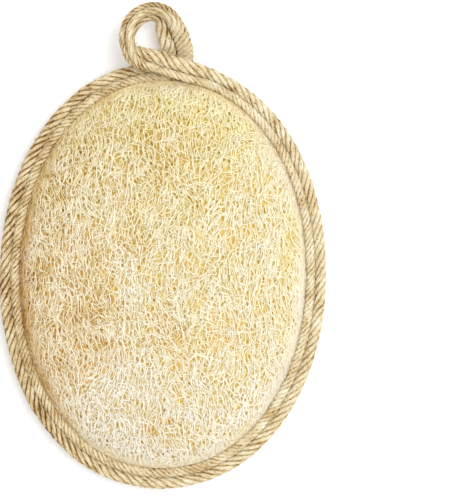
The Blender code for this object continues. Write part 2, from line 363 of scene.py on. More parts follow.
def cord_guide(name, paths, pitches, starts):
    """Edges along the paths, with what the cord tree needs at every point."""
    labels = ("across", "up", "squash", "spread")
    columns = {label: [getattr(path, label) for path in paths] for label in labels}
    turns = zip(paths, pitches, starts)
    columns["turn"] = [start + 2 * math.pi * path.turns(pitch) for path, pitch, start in turns]
    columns["cord"] = [np.full(len(path.at), float(number)) for number, path in enumerate(paths)]
    columns["ease"] = [path.ease for path in paths]
    return line_guide(name, [path.at for path in paths], columns)


def cord_tree(material):
    """Winds strands round each guide line, then squashes the section as the guide says."""
    inputs = {"Step": 0.9 * MM, "Helix Radius": HELIX, "Strand Radius": STRAND_RADIUS, "Sides": 7}
    tree, add, given = new_tree("Laid cord", {**inputs, "Unevenness": 0.28, "Wander": 1.1})
    vector = {"data_type": "FLOAT_VECTOR"}
    names = ("turn", "cord", "ease", "squash", "spread")
    turn, cord, ease, squash, spread = (add("GeometryNodeInputNamedAttribute", (n,)) for n in names)
    names = ("up", "across", "at")
    up, across, at = (add("GeometryNodeInputNamedAttribute", (n,), **vector) for n in names)
    position = add("GeometryNodeInputPosition")

    line = add("GeometryNodeMeshToCurve", {"Mesh": given["Geometry"]})
    line = add("GeometryNodeResampleCurve", {"Curve": line, "Length": given["Step"]}, mode="LENGTH")
    feeds = {"Geometry": line, "Name": "at", "Value": position}
    line = add("GeometryNodeStoreNamedAttribute", feeds, **vector)
    length = add("GeometryNodeSplineParameter").outputs["Length"]
    line = add("GeometryNodeStoreNamedAttribute", {"Geometry": line, "Name": "along", "Value": length})
    copies = add("GeometryNodeDuplicateElements", {"Geometry": line, "Amount": STRANDS}, domain="SPLINE")
    number = copies.outputs["Duplicate Index"]
    phase = add("ShaderNodeMath", (number, 2 * math.pi / STRANDS), operation="MULTIPLY")
    phase = add("ShaderNodeMath", (turn, phase), operation="ADD")

    # The lay isn't even: it is tighter here and looser there
    uneven = add("ShaderNodeTexNoise", {"Vector": position, "Scale": 1 / (9 * MM), "Detail": 1.0})
    uneven = add("ShaderNodeMath", (uneven, 0.5), operation="SUBTRACT")
    uneven = add("ShaderNodeMath", (uneven, given["Wander"]), operation="MULTIPLY")
    phase = add("ShaderNodeMath", (phase, uneven), operation="ADD")
    strand = add("ShaderNodeMath", (cord, float(STRANDS)), operation="MULTIPLY")
    strand = add("ShaderNodeMath", (strand, number), operation="ADD")
    line = add("GeometryNodeStoreNamedAttribute", {"Geometry": copies, "Name": "strand", "Value": strand})

    # Where the lay eases, the strands draw together
    closer = add("ShaderNodeMath", (given["Helix Radius"], 0.85), operation="MULTIPLY")
    helix = add("ShaderNodeMapRange", (ease, 0.0, 1.0, given["Helix Radius"], closer))
    pushes = []
    for direction, wave in ((up, "COSINE"), (across, "SINE")):
        swing = add("ShaderNodeMath", (phase,), operation=wave)
        swing = add("ShaderNodeMath", (swing, helix), operation="MULTIPLY")
        pushes.append(add("ShaderNodeVectorMath", {0: direction, "Scale": swing}, operation="SCALE"))
    offset = add("ShaderNodeVectorMath", pushes, operation="ADD")
    line = add("GeometryNodeSetPosition", {"Geometry": line, "Offset": offset})

    # Strands are a little thicker here and thinner there, each in its own places
    own = add("ShaderNodeMath", (strand, 7.3), operation="MULTIPLY")
    feeds = {"W": own, "Scale": 1 / (4 * MM), "Detail": 1.0}
    lumps = add("ShaderNodeTexNoise", feeds, noise_dimensions="4D")
    lumps = add("ShaderNodeMapRange", (lumps, 0.25, 0.75))
    spare = add("ShaderNodeMath", (1.0, given["Unevenness"]), operation="SUBTRACT")
    lumps = add("ShaderNodeMath", (lumps, given["Unevenness"]), operation="MULTIPLY")
    lumps = add("ShaderNodeMath", (lumps, spare), operation="ADD")
    radius = add("ShaderNodeMath", (lumps, given["Strand Radius"]), operation="MULTIPLY")
    fuller = add("ShaderNodeMapRange", (ease, 0.0, 1.0, 1.0, 1.12))
    radius = add("ShaderNodeMath", (radius, fuller), operation="MULTIPLY")
    line = add("GeometryNodeSetCurveRadius", {"Curve": line, "Radius": radius})
    profile = add("GeometryNodeCurvePrimitiveCircle", {"Resolution": given["Sides"], "Radius": 1.0})
    feeds = {"Geometry": profile, "Name": "round", "Value": position}
    profile = add("GeometryNodeStoreNamedAttribute", feeds, **vector)
    feeds = {"Curve": line, "Profile Curve": profile, "Fill Caps": True}
    feeds["Scale"] = add("GeometryNodeInputRadius")
    tube = add("GeometryNodeCurveToMesh", feeds)

    # How far a point stands from the cord's middle line tells valleys from crests, and how little it
    # rises or falls tells the flanks, where the cord lies against its neighbour. The jute material
    # paints valleys and flanks darker with these, as painted shade
    reach = add("ShaderNodeVectorMath", (position, at), operation="SUBTRACT")
    proud = add("ShaderNodeVectorMath", (reach,), operation="LENGTH").outputs["Value"]
    rise = add("ShaderNodeVectorMath", (reach, up), operation="DOT_PRODUCT").outputs["Value"]
    rise = add("ShaderNodeMath", (rise,), operation="ABSOLUTE")
    for name, value in (("proud", proud), ("rise", rise)):
        value = add("ShaderNodeMath", (value, CORD_RADIUS), operation="DIVIDE")
        tube = add("GeometryNodeStoreNamedAttribute", {"Geometry": tube, "Name": name, "Value": value})
    pushes = []
    for direction, factor in ((up, squash), (across, spread)):
        part = add("ShaderNodeVectorMath", (reach, direction), operation="DOT_PRODUCT").outputs["Value"]
        change = add("ShaderNodeMath", (factor, 1.0), operation="SUBTRACT")
        part = add("ShaderNodeMath", (part, change), operation="MULTIPLY")
        pushes.append(add("ShaderNodeVectorMath", {0: direction, "Scale": part}, operation="SCALE"))
    offset = add("ShaderNodeVectorMath", pushes, operation="ADD")
    tube = add("GeometryNodeSetPosition", {"Geometry": tube, "Offset": offset})
    tube = add("GeometryNodeSetShadeSmooth", {"Geometry": tube, "Shade Smooth": True})
    return end_tree(tree, tube, material)


def ring_path(inset, half_width, bottom, top, angles, closed=False):
    """A cord's path round the pad, with its section's lowest and highest point in millimetres."""
    x, y = oval_points(angles, inset)
    at = np.column_stack([x, y, (bottom + top) / 2 * MM])
    up = np.tile((0.0, 0.0, 1.0), (len(x), 1))
    squash = (top - bottom) / 2 * MM / CORD_RADIUS
    return CordPath(at, up, squash, np.full(len(x), half_width / CORD_RADIUS), closed)


# The ring's cords: inset and half width, then lowest and highest point in millimetres
OUTER_CORD = (2.45 * MM, 2.5 * MM)
INNER_CORD = (6.3 * MM, 2.1 * MM)
FRONT_OUTER = (4.0, 8.6)
FRONT_INNER = (5.4, 7.8)
BACK_OUTER = (0.0, 4.5)
BACK_INNER = (0.05, 2.3)
RING_STATIONS = 320
FRONT_START = (2.0 * MM, 4.2 * MM)  # where the face's cords start under the loop: x and inset


def front_ring_paths():
    """The two cords on the face, from under the loop's band round to where they become the band."""
    start = oval_angle_at(*FRONT_START)
    first = loop_rows()[0]
    end = math.atan2(first[1], first[0]) + 2 * math.pi
    angles = oval_angles(RING_STATIONS, start, end, closed=False)
    paths = []
    for (inset, half_width), (bottom, top) in ((OUTER_CORD, FRONT_OUTER), (INNER_CORD, FRONT_INNER)):
        x, y = oval_points(angles, inset)
        left = (angles < math.pi) & (y > 0)
        pressed = np.where(left, plateau(x, *LOOP_BED), 0)
        tops = top - pressed * (top - LOOP_BED_TOP / MM)
        paths.append(ring_path(inset, half_width, np.full_like(tops, bottom), tops, angles))
    return paths


def back_ring_paths():
    """The two cords on the back. The loop's end presses them up where it is sewn on."""
    angles = oval_angles(RING_STATIONS)
    angles = np.append(angles, angles[0] + 2 * math.pi)
    paths = []
    for (inset, half_width), (bottom, top) in ((OUTER_CORD, BACK_OUTER), (INNER_CORD, BACK_INNER)):
        x, y = oval_points(angles, inset)
        tucked = np.where(y > 0, plateau(x, *LOOP_TUCK), 0)
        bottoms = bottom + tucked * (LOOP_TUCK_TOP / MM - bottom)
        tops = np.maximum(top, bottoms + 0.6)
        paths.append(ring_path(inset, half_width, bottoms, tops, angles, closed=True))
    return paths


LOOP_STATIONS = 150


def loop_rows():
    """The folded tape's middle line and what its section is like, evenly read along it."""
    route = (
        # x, y, z, inner face x, y, z, width, thickness, share of the upper cord, inner pair's thickness
        (22.0, 76.5, 8.15, 0.0, 0.0, 1.0, 8.0, 1.0, 0.56, 3.6),
        (16.0, 78.7, 8.45, 0.0, 0.0, 1.0, 8.4, 1.5, 0.60, 3.4),
        (9.5, 80.4, 8.9, 0.0, 0.0, 1.0, 8.8, 2.2, 0.64, 3.0),
        (3.0, 82.2, 9.6, 0.0, 0.0, 1.0, 9.0, 3.2, 0.66, 2.6),
        (-3.5, 84.0, 10.4, 0.0, 0.05, 1.0, 9.2, 4.0, 0.66, 2.6),
        (-9.2, 84.5, 12.1, 0.35, 0.2, 1.0, 9.2, 4.8, 0.60, 2.7),
        (-13.7, 87.2, 13.8, 0.9, 0.2, 0.3, 9.2, 5.4, 0.54, 2.8),
        (-15.2, 92.6, 14.0, 0.98, 0.0, 0.16, 9.2, 5.4, 0.46, 2.8),
        (-13.7, 98.0, 13.6, 0.9, -0.35, 0.2, 9.2, 5.2, 0.46, 2.7),
        (-10.2, 101.9, 12.6, 0.6, -0.75, 0.24, 9.2, 5.0, 0.46, 2.6),
        (-5.2, 103.8, 11.2, 0.1, -0.95, 0.3, 9.4, 5.0, 0.46, 2.6),
        (-0.6, 102.2, 9.4, -0.35, -0.7, 0.5, 10.4, 5.0, 0.46, 2.6),
        (1.9, 97.4, 7.0, -0.25, -0.35, 0.95, 12.4, 4.8, 0.46, 2.4),
        (3.8, 92.0, 4.2, 0.0, 0.2, 1.0, 13.0, 4.2, 0.45, 2.1),
        (4.4, 87.2, 1.6, 0.0, 0.12, 1.0, 12.6, 2.4, 0.47, 1.2),
        (4.5, 81.6, 0.96, 0.0, 0.0, 1.0, 12.0, 1.84, 0.5, 0.92),
        (4.5, 76.9, 0.95, 0.0, 0.0, 1.0, 11.6, 1.84, 0.5, 0.92),
    )
    table = np.array(route)
    table[:, [0, 1, 2, 6, 7, 9]] *= MM
    padded = np.vstack([2 * table[0] - table[1], table, 2 * table[-1] - table[-2]])
    at = np.linspace(0, len(table) - 1, LOOP_STATIONS)
    i = np.minimum(at.astype(int), len(table) - 2)
    t = (at - i)[:, None]
    a, b, c, d = (padded[i + k] for k in range(4))
    square = 2 * a - 5 * b + 4 * c - d
    cube = 3 * b - a - 3 * c + d
    return 0.5 * (2 * b + (c - a) * t + square * t**2 + cube * t**3)


def loop_frames(rows):
    """The tape's middle line with its across and inner directions."""
    at = rows[:, :3]
    along = unit(np.gradient(at, axis=0))
    inner = rows[:, 3:6]
    inner = unit(inner - along * np.sum(inner * along, axis=1, keepdims=True))
    return at, np.cross(along, inner), inner


# Between these x the ring's cords turn into the loop's inner pair, and its outer pair starts after
# this share of the loop's stations
LOOP_HANDOVER = (24 * MM, 11 * MM)
OUTER_PAIR_FROM = 0.1375


def loop_paths():
    """The loop's four cords: the pair on its inner face, which the ring's cords become, and the
    pair on its outer face, which starts under them."""
    rows = loop_rows()
    at, across, inner = loop_frames(rows)
    width, thickness, share, front = rows[:, 6], rows[:, 7], rows[:, 8], rows[:, 9]
    back = np.maximum(thickness - front, 0.4 * MM)
    back = np.minimum(back, thickness / 2)
    start = smooth(ramp(-at[:, 0], -LOOP_HANDOVER[0], -LOOP_HANDOVER[1]))
    start[LOOP_STATIONS // 4 :] = 1
    angles = np.arctan2(at[:, 1], at[:, 0])
    # Where the tape is bent round, its inner lip is drawn smooth
    bend = plateau(np.linspace(0, 1, LOOP_STATIONS), 0.38, 0.68, run=0.07)
    paths = []
    ring = ((OUTER_CORD, FRONT_OUTER), (INNER_CORD, FRONT_INNER))
    for side, (cord, (bottom, top)) in zip((1, -1), ring):
        part = share if side > 0 else 1 - share
        half = part * width / 2
        middle = at + across * (side * (width / 2 - half))[:, None]
        middle = middle + inner * (thickness / 2 - front / 2)[:, None]
        x, y = oval_points(angles, cord[0])
        ring_at = np.column_stack([x, y, np.full_like(x, (bottom + top) / 2 * MM)])
        weight = start[:, None]
        place = ring_at * (1 - weight) + middle * weight
        squash = (top - bottom) / 2 * MM * (1 - start) + front / 2 * start
        spread = cord[1] * (1 - start) + (half + 0.3 * MM) * start
        ease = bend if side < 0 else 0.45 * bend
        paths.append(CordPath(place, inner, squash / CORD_RADIUS, spread / CORD_RADIUS, ease=ease))
    begin = int(LOOP_STATIONS * OUTER_PAIR_FROM)
    for side in (1, -1):
        part = share if side > 0 else 1 - share
        half = (part * width / 2)[begin:]
        middle = at[begin:] + across[begin:] * (side * (width[begin:] / 2 - half))[:, None]
        middle = middle - inner[begin:] * (thickness / 2 - back / 2)[begin:, None]
        squash = (back / 2)[begin:]
        paths.append(CordPath(middle, inner[begin:], squash / CORD_RADIUS, half / CORD_RADIUS))
    return paths


def binding_core_mesh():
    """The tape between the binding's cords, folded round the edges of the mat and the cloth."""
    count = 264
    angles = oval_angles(count)
    outline_x, outline_y = oval_points(angles, 0)
    pressed = np.where(outline_y > 0, plateau(outline_x, *LOOP_BED), 0)
    lift = np.where(outline_y > 0, plateau(outline_x, *LOOP_TUCK), 0) * LOOP_TUCK_TOP / MM
    floor = 2.3 + 1.1 * ramp(np.abs(outline_y), 16 * MM, 20 * MM)

    def face(height):
        return height - pressed * max(0, height - LOOP_BED_TOP / MM + 1.3)

    level = np.full(count, 1.0)
    section = (
        (1.0, level * 4.3),
        (1.5, level * 6.2),
        (2.6, face(6.9)),
        (4.5, face(6.2)),
        (6.2, face(7.6)),
        (7.7, face(7.2)),
        (7.9, level * 6.6),
        (4.9, level * 6.6),
        (4.9, floor),
        (7.9, floor),
        (7.7, np.maximum(1.3, np.maximum(floor - 0.9, lift))),
        (6.2, np.maximum(1.1, lift + 0.1)),
        (4.3, np.maximum(1.6, lift + 0.3)),
        (2.6, np.maximum(1.5, lift + 0.3)),
        (1.5, np.maximum(2.4, lift + 0.5)),
    )
    points = []
    for inset, height in section:
        x, y = oval_points(angles, inset * MM)
        points.append(np.column_stack([x, y, height * MM]))
    faces = []
    for ring in range(len(section)):
        a = ring * count
        b = ((ring + 1) % len(section)) * count
        for i in range(count):
            j = (i + 1) % count
            faces.append((a + i, a + j, b + j, b + i))
    return new_mesh("binding_core", np.vstack(points), faces)


def loop_core_mesh():
    """The seam between the folded tape's two halves."""
    rows = loop_rows()[8:]
    at, across, inner = loop_frames(rows)
    half_width = rows[:, 6] * 0.33
    level = (rows[:, 7] / 2 - rows[:, 9])[:, None] * inner
    half_thick = np.minimum(rows[:, 7] * 0.16, 0.7 * MM)
    section = ((-1, 0), (-0.8, 1), (0.8, 1), (1, 0), (0.8, -1), (-0.8, -1))
    points = []
    for w, t in section:
        points.append(at + level + across * (w * half_width)[:, None] + inner * (t * half_thick)[:, None])
    count = len(rows)
    sides = len(section)
    grid = np.stack(points, axis=1).reshape(-1, 3)
    faces = []
    for i in range(count - 1):
        for k in range(sides):
            j = (k + 1) % sides
            faces.append((i * sides + k, (i + 1) * sides + k, (i + 1) * sides + j, i * sides + j))
    faces.append(tuple(range(sides)))
    faces.append(tuple(reversed(range((count - 1) * sides, count * sides))))
    return new_mesh("loop_core", grid, faces)


# The loofah mat: its pitted ground and its fibres

# The area that the fibres lie on, an oval inside the binding
MAT_AREA = math.pi * 56 * 76 * MM * MM

# The gaps of its net: a cell's width and length, how far a gap reaches in its cell, and the range
# of random numbers over which gaps grow from none to full
PIT_CELL = (2.0 * MM, 2.8 * MM)
PIT_REACH = 0.44
PIT_SHARE = (0.34, 0.97)


def pit_pattern(add, position):
    """The gaps of the mat's net: how far into a gap a point is, which way out, and the gap's size."""
    scale = (1 / PIT_CELL[0], 1 / PIT_CELL[1], 0.0)
    flat = add("ShaderNodeVectorMath", (position, scale), operation="MULTIPLY")
    feeds = {"Vector": flat, "Scale": 1.0, "Randomness": 0.9}
    cells = add("ShaderNodeTexVoronoi", feeds, voronoi_dimensions="2D")
    away = add("ShaderNodeVectorMath", (flat, cells.outputs["Position"]), operation="SUBTRACT")
    out = add("ShaderNodeVectorMath", (away,), operation="NORMALIZE")
    real = (PIT_CELL[0], PIT_CELL[1], 0.0)
    out = add("ShaderNodeVectorMath", (out, real), operation="MULTIPLY")
    colour = add("ShaderNodeSeparateXYZ", (cells.outputs["Color"],))
    feeds = (colour.outputs["X"], PIT_SHARE[0], PIT_SHARE[1])
    size = add("ShaderNodeMapRange", feeds, interpolation_type="SMOOTHSTEP")
    into = add("ShaderNodeMath", (PIT_REACH, cells.outputs["Distance"]), operation="SUBTRACT")
    into = add("ShaderNodeMath", (into, 0.0), operation="MAXIMUM")
    into = add("ShaderNodeMath", (into, size), operation="MULTIPLY")
    return into, out


def ground_tree(material):
    """Sinks pits and broad hollows into the mat's face, as far as its own attribute lets it."""
    inputs = {"Pit Depth": 1.0 * MM, "Hollow Depth": 1.0 * MM, "Hollow Size": 16 * MM}
    tree, add, given = new_tree("Pitted ground", inputs)
    position = add("GeometryNodeInputPosition")
    into, _ = pit_pattern(add, position)
    pit = add("ShaderNodeMath", (into, 1 / PIT_REACH), operation="MULTIPLY")
    feeds = {"Geometry": given["Geometry"], "Name": "pit", "Value": pit}
    ground = add("GeometryNodeStoreNamedAttribute", feeds)
    scale = add("ShaderNodeMath", (1.0, given["Hollow Size"]), operation="DIVIDE")
    hollow = add("ShaderNodeTexNoise", {"Vector": position, "Scale": scale, "Detail": 2.0})
    hollow = add("ShaderNodeMath", (hollow, given["Hollow Depth"]), operation="MULTIPLY")
    drop = add("ShaderNodeMath", (pit, given["Pit Depth"]), operation="MULTIPLY")
    drop = add("ShaderNodeMath", (drop, hollow), operation="ADD")
    open_face = add("GeometryNodeInputNamedAttribute", ("face",))
    drop = add("ShaderNodeMath", (drop, open_face), operation="MULTIPLY")
    drop = add("ShaderNodeMath", (drop, -1.0), operation="MULTIPLY")
    offset = add("ShaderNodeCombineXYZ", {"Z": drop})
    ground = add("GeometryNodeSetPosition", {"Geometry": ground, "Offset": offset})
    ground = add("GeometryNodeSetShadeSmooth", {"Geometry": ground, "Shade Smooth": True})
    return end_tree(tree, ground, material)


def lip_depths(mesh):
    """How far each point of a mesh lies inside the lip of the binding."""
    points = np.empty(len(mesh.vertices) * 3)
    mesh.vertices.foreach_get("co", points)
    points = points.reshape(-1, 3) - PAD_CENTRE
    return lip_depth(points[:, 0], points[:, 1])


def ground_mesh():
    """The mat under its fibres: the face, the edge in the binding and the arched underside."""
    shares = np.concatenate([np.linspace(0.02, 0.93, 46), (0.945, 0.965, 0.985, 1.0)])
    under_shares = (0.2, 0.4, 0.6, 0.8, 0.92, 1.0)
    count = 320
    sink = 0.7 * MM

    def upper(x, y):
        return loofah_top(x, y) - sink * (0.4 + 0.6 * smooth(np.minimum(1, lip_depth(x, y) / (2.5 * MM))))

    mesh = layer_mesh("loofah_ground", upper, loofah_under, shares, under_shares, count)
    depths = lip_depths(mesh)
    open_face = smooth(np.minimum(1, depths / (5 * MM)))
    open_face[1 + len(shares) * count :] = 0
    set_attribute(mesh, "face", open_face)
    set_attribute(mesh, "depth", depths)
    return mesh


def drape_guide():
    """The smooth surface that the fibres lie on, from the middle to just under the binding."""
    shares = np.linspace(0.02, 0.985, 60)
    mesh = layer_mesh("drape", loofah_top, None, shares, None, 200)
    set_attribute(mesh, "depth", lip_depths(mesh))
    return add_object("drape", mesh)


def fibre_tree(material):
    """Scatters fibres over a surface, mostly lengthwise, parts them round the gaps, lays them on
    the surface and gives them their thickness."""
    tree, add, given = new_tree(
        "Matted fibres",
        {
            "Density": 300000.0,
            "Length": 7 * MM,
            "Thickness": 0.55 * MM,
            "Lift": 0.0,
            "Heave": 0.8 * MM,
            "Wiggle": 0.8 * MM,
            "Crossing": 1.9,
            "Parting": 0.8,
            "Points": 4,
            "Seed": 0,
        },
    )
    surface = given["Geometry"]
    names = ("tone", "level", "depth", "missed", "bed")
    tone, level, depth, missed, bed = (add("GeometryNodeInputNamedAttribute", (n,)) for n in names)
    position = add("GeometryNodeInputPosition")
    split = add("ShaderNodeSeparateXYZ", (position,))

    feeds = {"Mesh": surface, "Density": given["Density"], "Seed": given["Seed"]}
    points = add("GeometryNodeDistributePointsOnFaces", feeds)
    for name, seed in (("tone", 1), ("level", 2)):
        share = add("FunctionNodeRandomValue", {"Min": 0.0, "Max": 1.0, "Seed": seed})
        points = add("GeometryNodeStoreNamedAttribute", {"Geometry": points, "Name": name, "Value": share})

    # The lay: mostly along the pad, swirling a little, and some fibres cross the others
    swirl = add("ShaderNodeTexNoise", {"Vector": position, "Scale": 1 / (16 * MM), "Detail": 1.0})
    swirl = add("ShaderNodeMath", (swirl, 0.5), operation="SUBTRACT")
    swirl = add("ShaderNodeMath", (swirl, 2.8), operation="MULTIPLY")
    stray = add("FunctionNodeRandomValue", {"Min": -1.0, "Max": 1.0, "Seed": 3})
    stray = add("ShaderNodeMath", (stray, 3.0), operation="POWER")
    stray = add("ShaderNodeMath", (stray, given["Crossing"]), operation="MULTIPLY")
    # They cross more at the pad's left than at its right
    more = add("ShaderNodeMapRange", (split.outputs["X"], 50 * MM, -55 * MM, 0.9, 2.3))
    stray = add("ShaderNodeMath", (stray, more), operation="MULTIPLY")
    heading = add("ShaderNodeMath", (swirl, stray), operation="ADD")
    turned = add("ShaderNodeCombineXYZ", {"Z": heading})
    rotation = add("FunctionNodeEulerToRotation", {"Euler": turned})
    line = add("GeometryNodeCurvePrimitiveLine", {"Start": (0, -0.5, 0), "End": (0, 0.5, 0)})
    line = add("GeometryNodeResampleCurve", {"Curve": line, "Count": given["Points"]})
    length = add("FunctionNodeRandomValue", {"Min": 0.45, "Max": 1.5, "Seed": 4})
    length = add("ShaderNodeMath", (length, given["Length"]), operation="MULTIPLY")
    feeds = {"Points": points, "Instance": line, "Rotation": rotation, "Scale": length}
    fibres = add("GeometryNodeInstanceOnPoints", feeds)
    fibres = add("GeometryNodeRealizeInstances", {"Geometry": fibres})

    # Each fibre bends its own way
    own = add("ShaderNodeMath", (tone, 90.0), operation="MULTIPLY")
    feeds = {"Vector": position, "W": own, "Scale": 1 / (3 * MM), "Detail": 1.0}
    bend = add("ShaderNodeTexNoise", feeds, noise_dimensions="4D").outputs["Color"]
    bend = add("ShaderNodeVectorMath", (bend, (0.5, 0.5, 0.5)), operation="SUBTRACT")
    far = add("ShaderNodeMath", (given["Wiggle"], 4.0), operation="MULTIPLY")
    bend = add("ShaderNodeVectorMath", {0: bend, "Scale": far}, operation="SCALE")
    fibres = add("GeometryNodeSetPosition", {"Geometry": fibres, "Offset": bend})

    # The net's gaps push the fibres aside
    into, out = pit_pattern(add, position)
    part = add("ShaderNodeMath", (into, given["Parting"]), operation="MULTIPLY")
    part = add("ShaderNodeVectorMath", {0: out, "Scale": part}, operation="SCALE")
    fibres = add("GeometryNodeSetPosition", {"Geometry": fibres, "Offset": part})

    # Laid on the surface: what falls beyond it is dropped
    above = add("ShaderNodeCombineXYZ", (split.outputs["X"], split.outputs["Y"], 0.1))
    feeds = {"Target Geometry": surface, "Attribute": depth, "Source Position": above}
    ray = add("GeometryNodeRaycast", {**feeds, "Ray Direction": (0, 0, -1), "Ray Length": 1.0})
    beyond = add("FunctionNodeBooleanMath", (ray.outputs["Is Hit"],), operation="NOT")
    ground = add("ShaderNodeSeparateXYZ", (ray.outputs["Hit Position"],)).outputs["Z"]
    along = add("GeometryNodeSplineParameter").outputs["Factor"]
    arch = add("ShaderNodeMath", (along, math.pi), operation="MULTIPLY")
    arch = add("ShaderNodeMath", (arch,), operation="SINE")
    arch = add("ShaderNodeMath", (arch, 0.9), operation="MULTIPLY")
    arch = add("ShaderNodeMath", (arch, 0.3), operation="ADD")
    height = add("ShaderNodeMath", (level, 0.35), operation="SUBTRACT")
    height = add("ShaderNodeMath", (height, given["Heave"]), operation="MULTIPLY")
    height = add("ShaderNodeMath", (height, arch), operation="MULTIPLY")
    height = add("ShaderNodeMath", (height, given["Lift"]), operation="ADD")
    freedom = add("ShaderNodeMapRange", (ray.outputs["Attribute"], 0.0, 3 * MM, 0.5, 1.0))
    height = add("ShaderNodeMath", (height, freedom), operation="MULTIPLY")
    height = add("ShaderNodeMath", (ground, height), operation="ADD")
    laid = add("ShaderNodeCombineXYZ", (split.outputs["X"], split.outputs["Y"], height))
    for name, value in (("missed", beyond), ("depth", ray.outputs["Attribute"]), ("bed", ground)):
        fibres = add("GeometryNodeStoreNamedAttribute", {"Geometry": fibres, "Name": name, "Value": value})
    fibres = add("GeometryNodeSetPosition", {"Geometry": fibres, "Position": laid})
    gone = add("FunctionNodeCompare", {"A": missed, "B": 0.5}, data_type="FLOAT", operation="GREATER_THAN")
    fibres = add("GeometryNodeDeleteGeometry", {"Geometry": fibres, "Selection": gone}, domain="POINT")

    # Thickness, thinner towards the ends
    ends = add("ShaderNodeMath", (along, 2.0), operation="MULTIPLY")
    ends = add("ShaderNodeMath", (ends, 1.0), operation="SUBTRACT")
    ends = add("ShaderNodeMath", (ends,), operation="ABSOLUTE")
    ends = add("ShaderNodeMath", (ends, 5.0), operation="POWER")
    ends = add("ShaderNodeMath", (ends, 0.7), operation="MULTIPLY")
    taper = add("ShaderNodeMath", (1.0, ends), operation="SUBTRACT")
    thick = add("ShaderNodeMath", (level, 0.3), operation="MULTIPLY")
    thick = add("ShaderNodeMath", (0.35, thick), operation="ADD")
    radius = add("ShaderNodeMath", (taper, thick), operation="MULTIPLY")
    radius = add("ShaderNodeMath", (radius, given["Thickness"]), operation="MULTIPLY")
    fibres = add("GeometryNodeSetCurveRadius", {"Curve": fibres, "Radius": radius})
    profile = add("GeometryNodeCurvePrimitiveCircle", {"Resolution": 3, "Radius": 1.0})
    feeds = {"Curve": fibres, "Profile Curve": profile, "Fill Caps": True}
    feeds["Scale"] = add("GeometryNodeInputRadius")
    tube = add("GeometryNodeCurveToMesh", feeds)
    above = add("ShaderNodeMath", (split.outputs["Z"], bed), operation="SUBTRACT")
    tube = add("GeometryNodeStoreNamedAttribute", {"Geometry": tube, "Name": "above", "Value": above})
    tube = add("GeometryNodeSetShadeSmooth", {"Geometry": tube, "Shade Smooth": True})
    return end_tree(tree, tube, material)


# Loose hairs of the jute


def fuzz_tree(material):
    """Loose hairs that stand off the cords, each leaning its own way."""
    inputs = {"Density": 40000.0, "Hair Length": 2.6 * MM, "Hair Radius": 0.045 * MM, "Seed": 3}
    tree, add, given = new_tree("Jute fuzz", inputs)
    feeds = {"Mesh": given["Geometry"], "Density": given["Density"], "Seed": given["Seed"]}
    points = add("GeometryNodeDistributePointsOnFaces", feeds)
    feeds = {"Min": (-1.35, -1.35, 0.0), "Max": (1.35, 1.35, 2 * math.pi), "Seed": 5}
    lean = add("FunctionNodeRandomValue", feeds, data_type="FLOAT_VECTOR")
    lean = add("FunctionNodeEulerToRotation", {"Euler": lean})
    feeds = {"Rotation": points.outputs["Rotation"], "Rotate By": lean}
    turned = add("FunctionNodeRotateRotation", feeds, rotation_space="LOCAL")
    feeds = {"Resolution": 4, "Start": (0, 0, 0), "Middle": (0.1, 0, 0.6), "End": (0.6, 0, 0.9)}
    hair = add("GeometryNodeCurveQuadraticBezier", feeds)
    share = add("ShaderNodeMath", (given["Hair Radius"], given["Hair Length"]), operation="DIVIDE")
    profile = add("GeometryNodeCurvePrimitiveCircle", {"Resolution": 3, "Radius": share})
    hair = add("GeometryNodeCurveToMesh", {"Curve": hair, "Profile Curve": profile, "Fill Caps": True})
    size = add("FunctionNodeRandomValue", {"Min": 0.4, "Max": 1.4, "Seed": 6})
    size = add("ShaderNodeMath", (size, given["Hair Length"]), operation="MULTIPLY")
    feeds = {"Points": points.outputs["Points"], "Instance": hair, "Rotation": turned, "Scale": size}
    hairs = add("GeometryNodeInstanceOnPoints", feeds)
    hairs = add("GeometryNodeRealizeInstances", {"Geometry": hairs})

    # The floor bends the lowest hairs
    position = add("GeometryNodeInputPosition")
    above = (-1.0, -1.0, 0.05 * MM)
    above = add("ShaderNodeVectorMath", (position, above), operation="MAXIMUM")
    hairs = add("GeometryNodeSetPosition", {"Geometry": hairs, "Position": above})
    return end_tree(tree, hairs, material)


# Stitches, terry cloth and strap


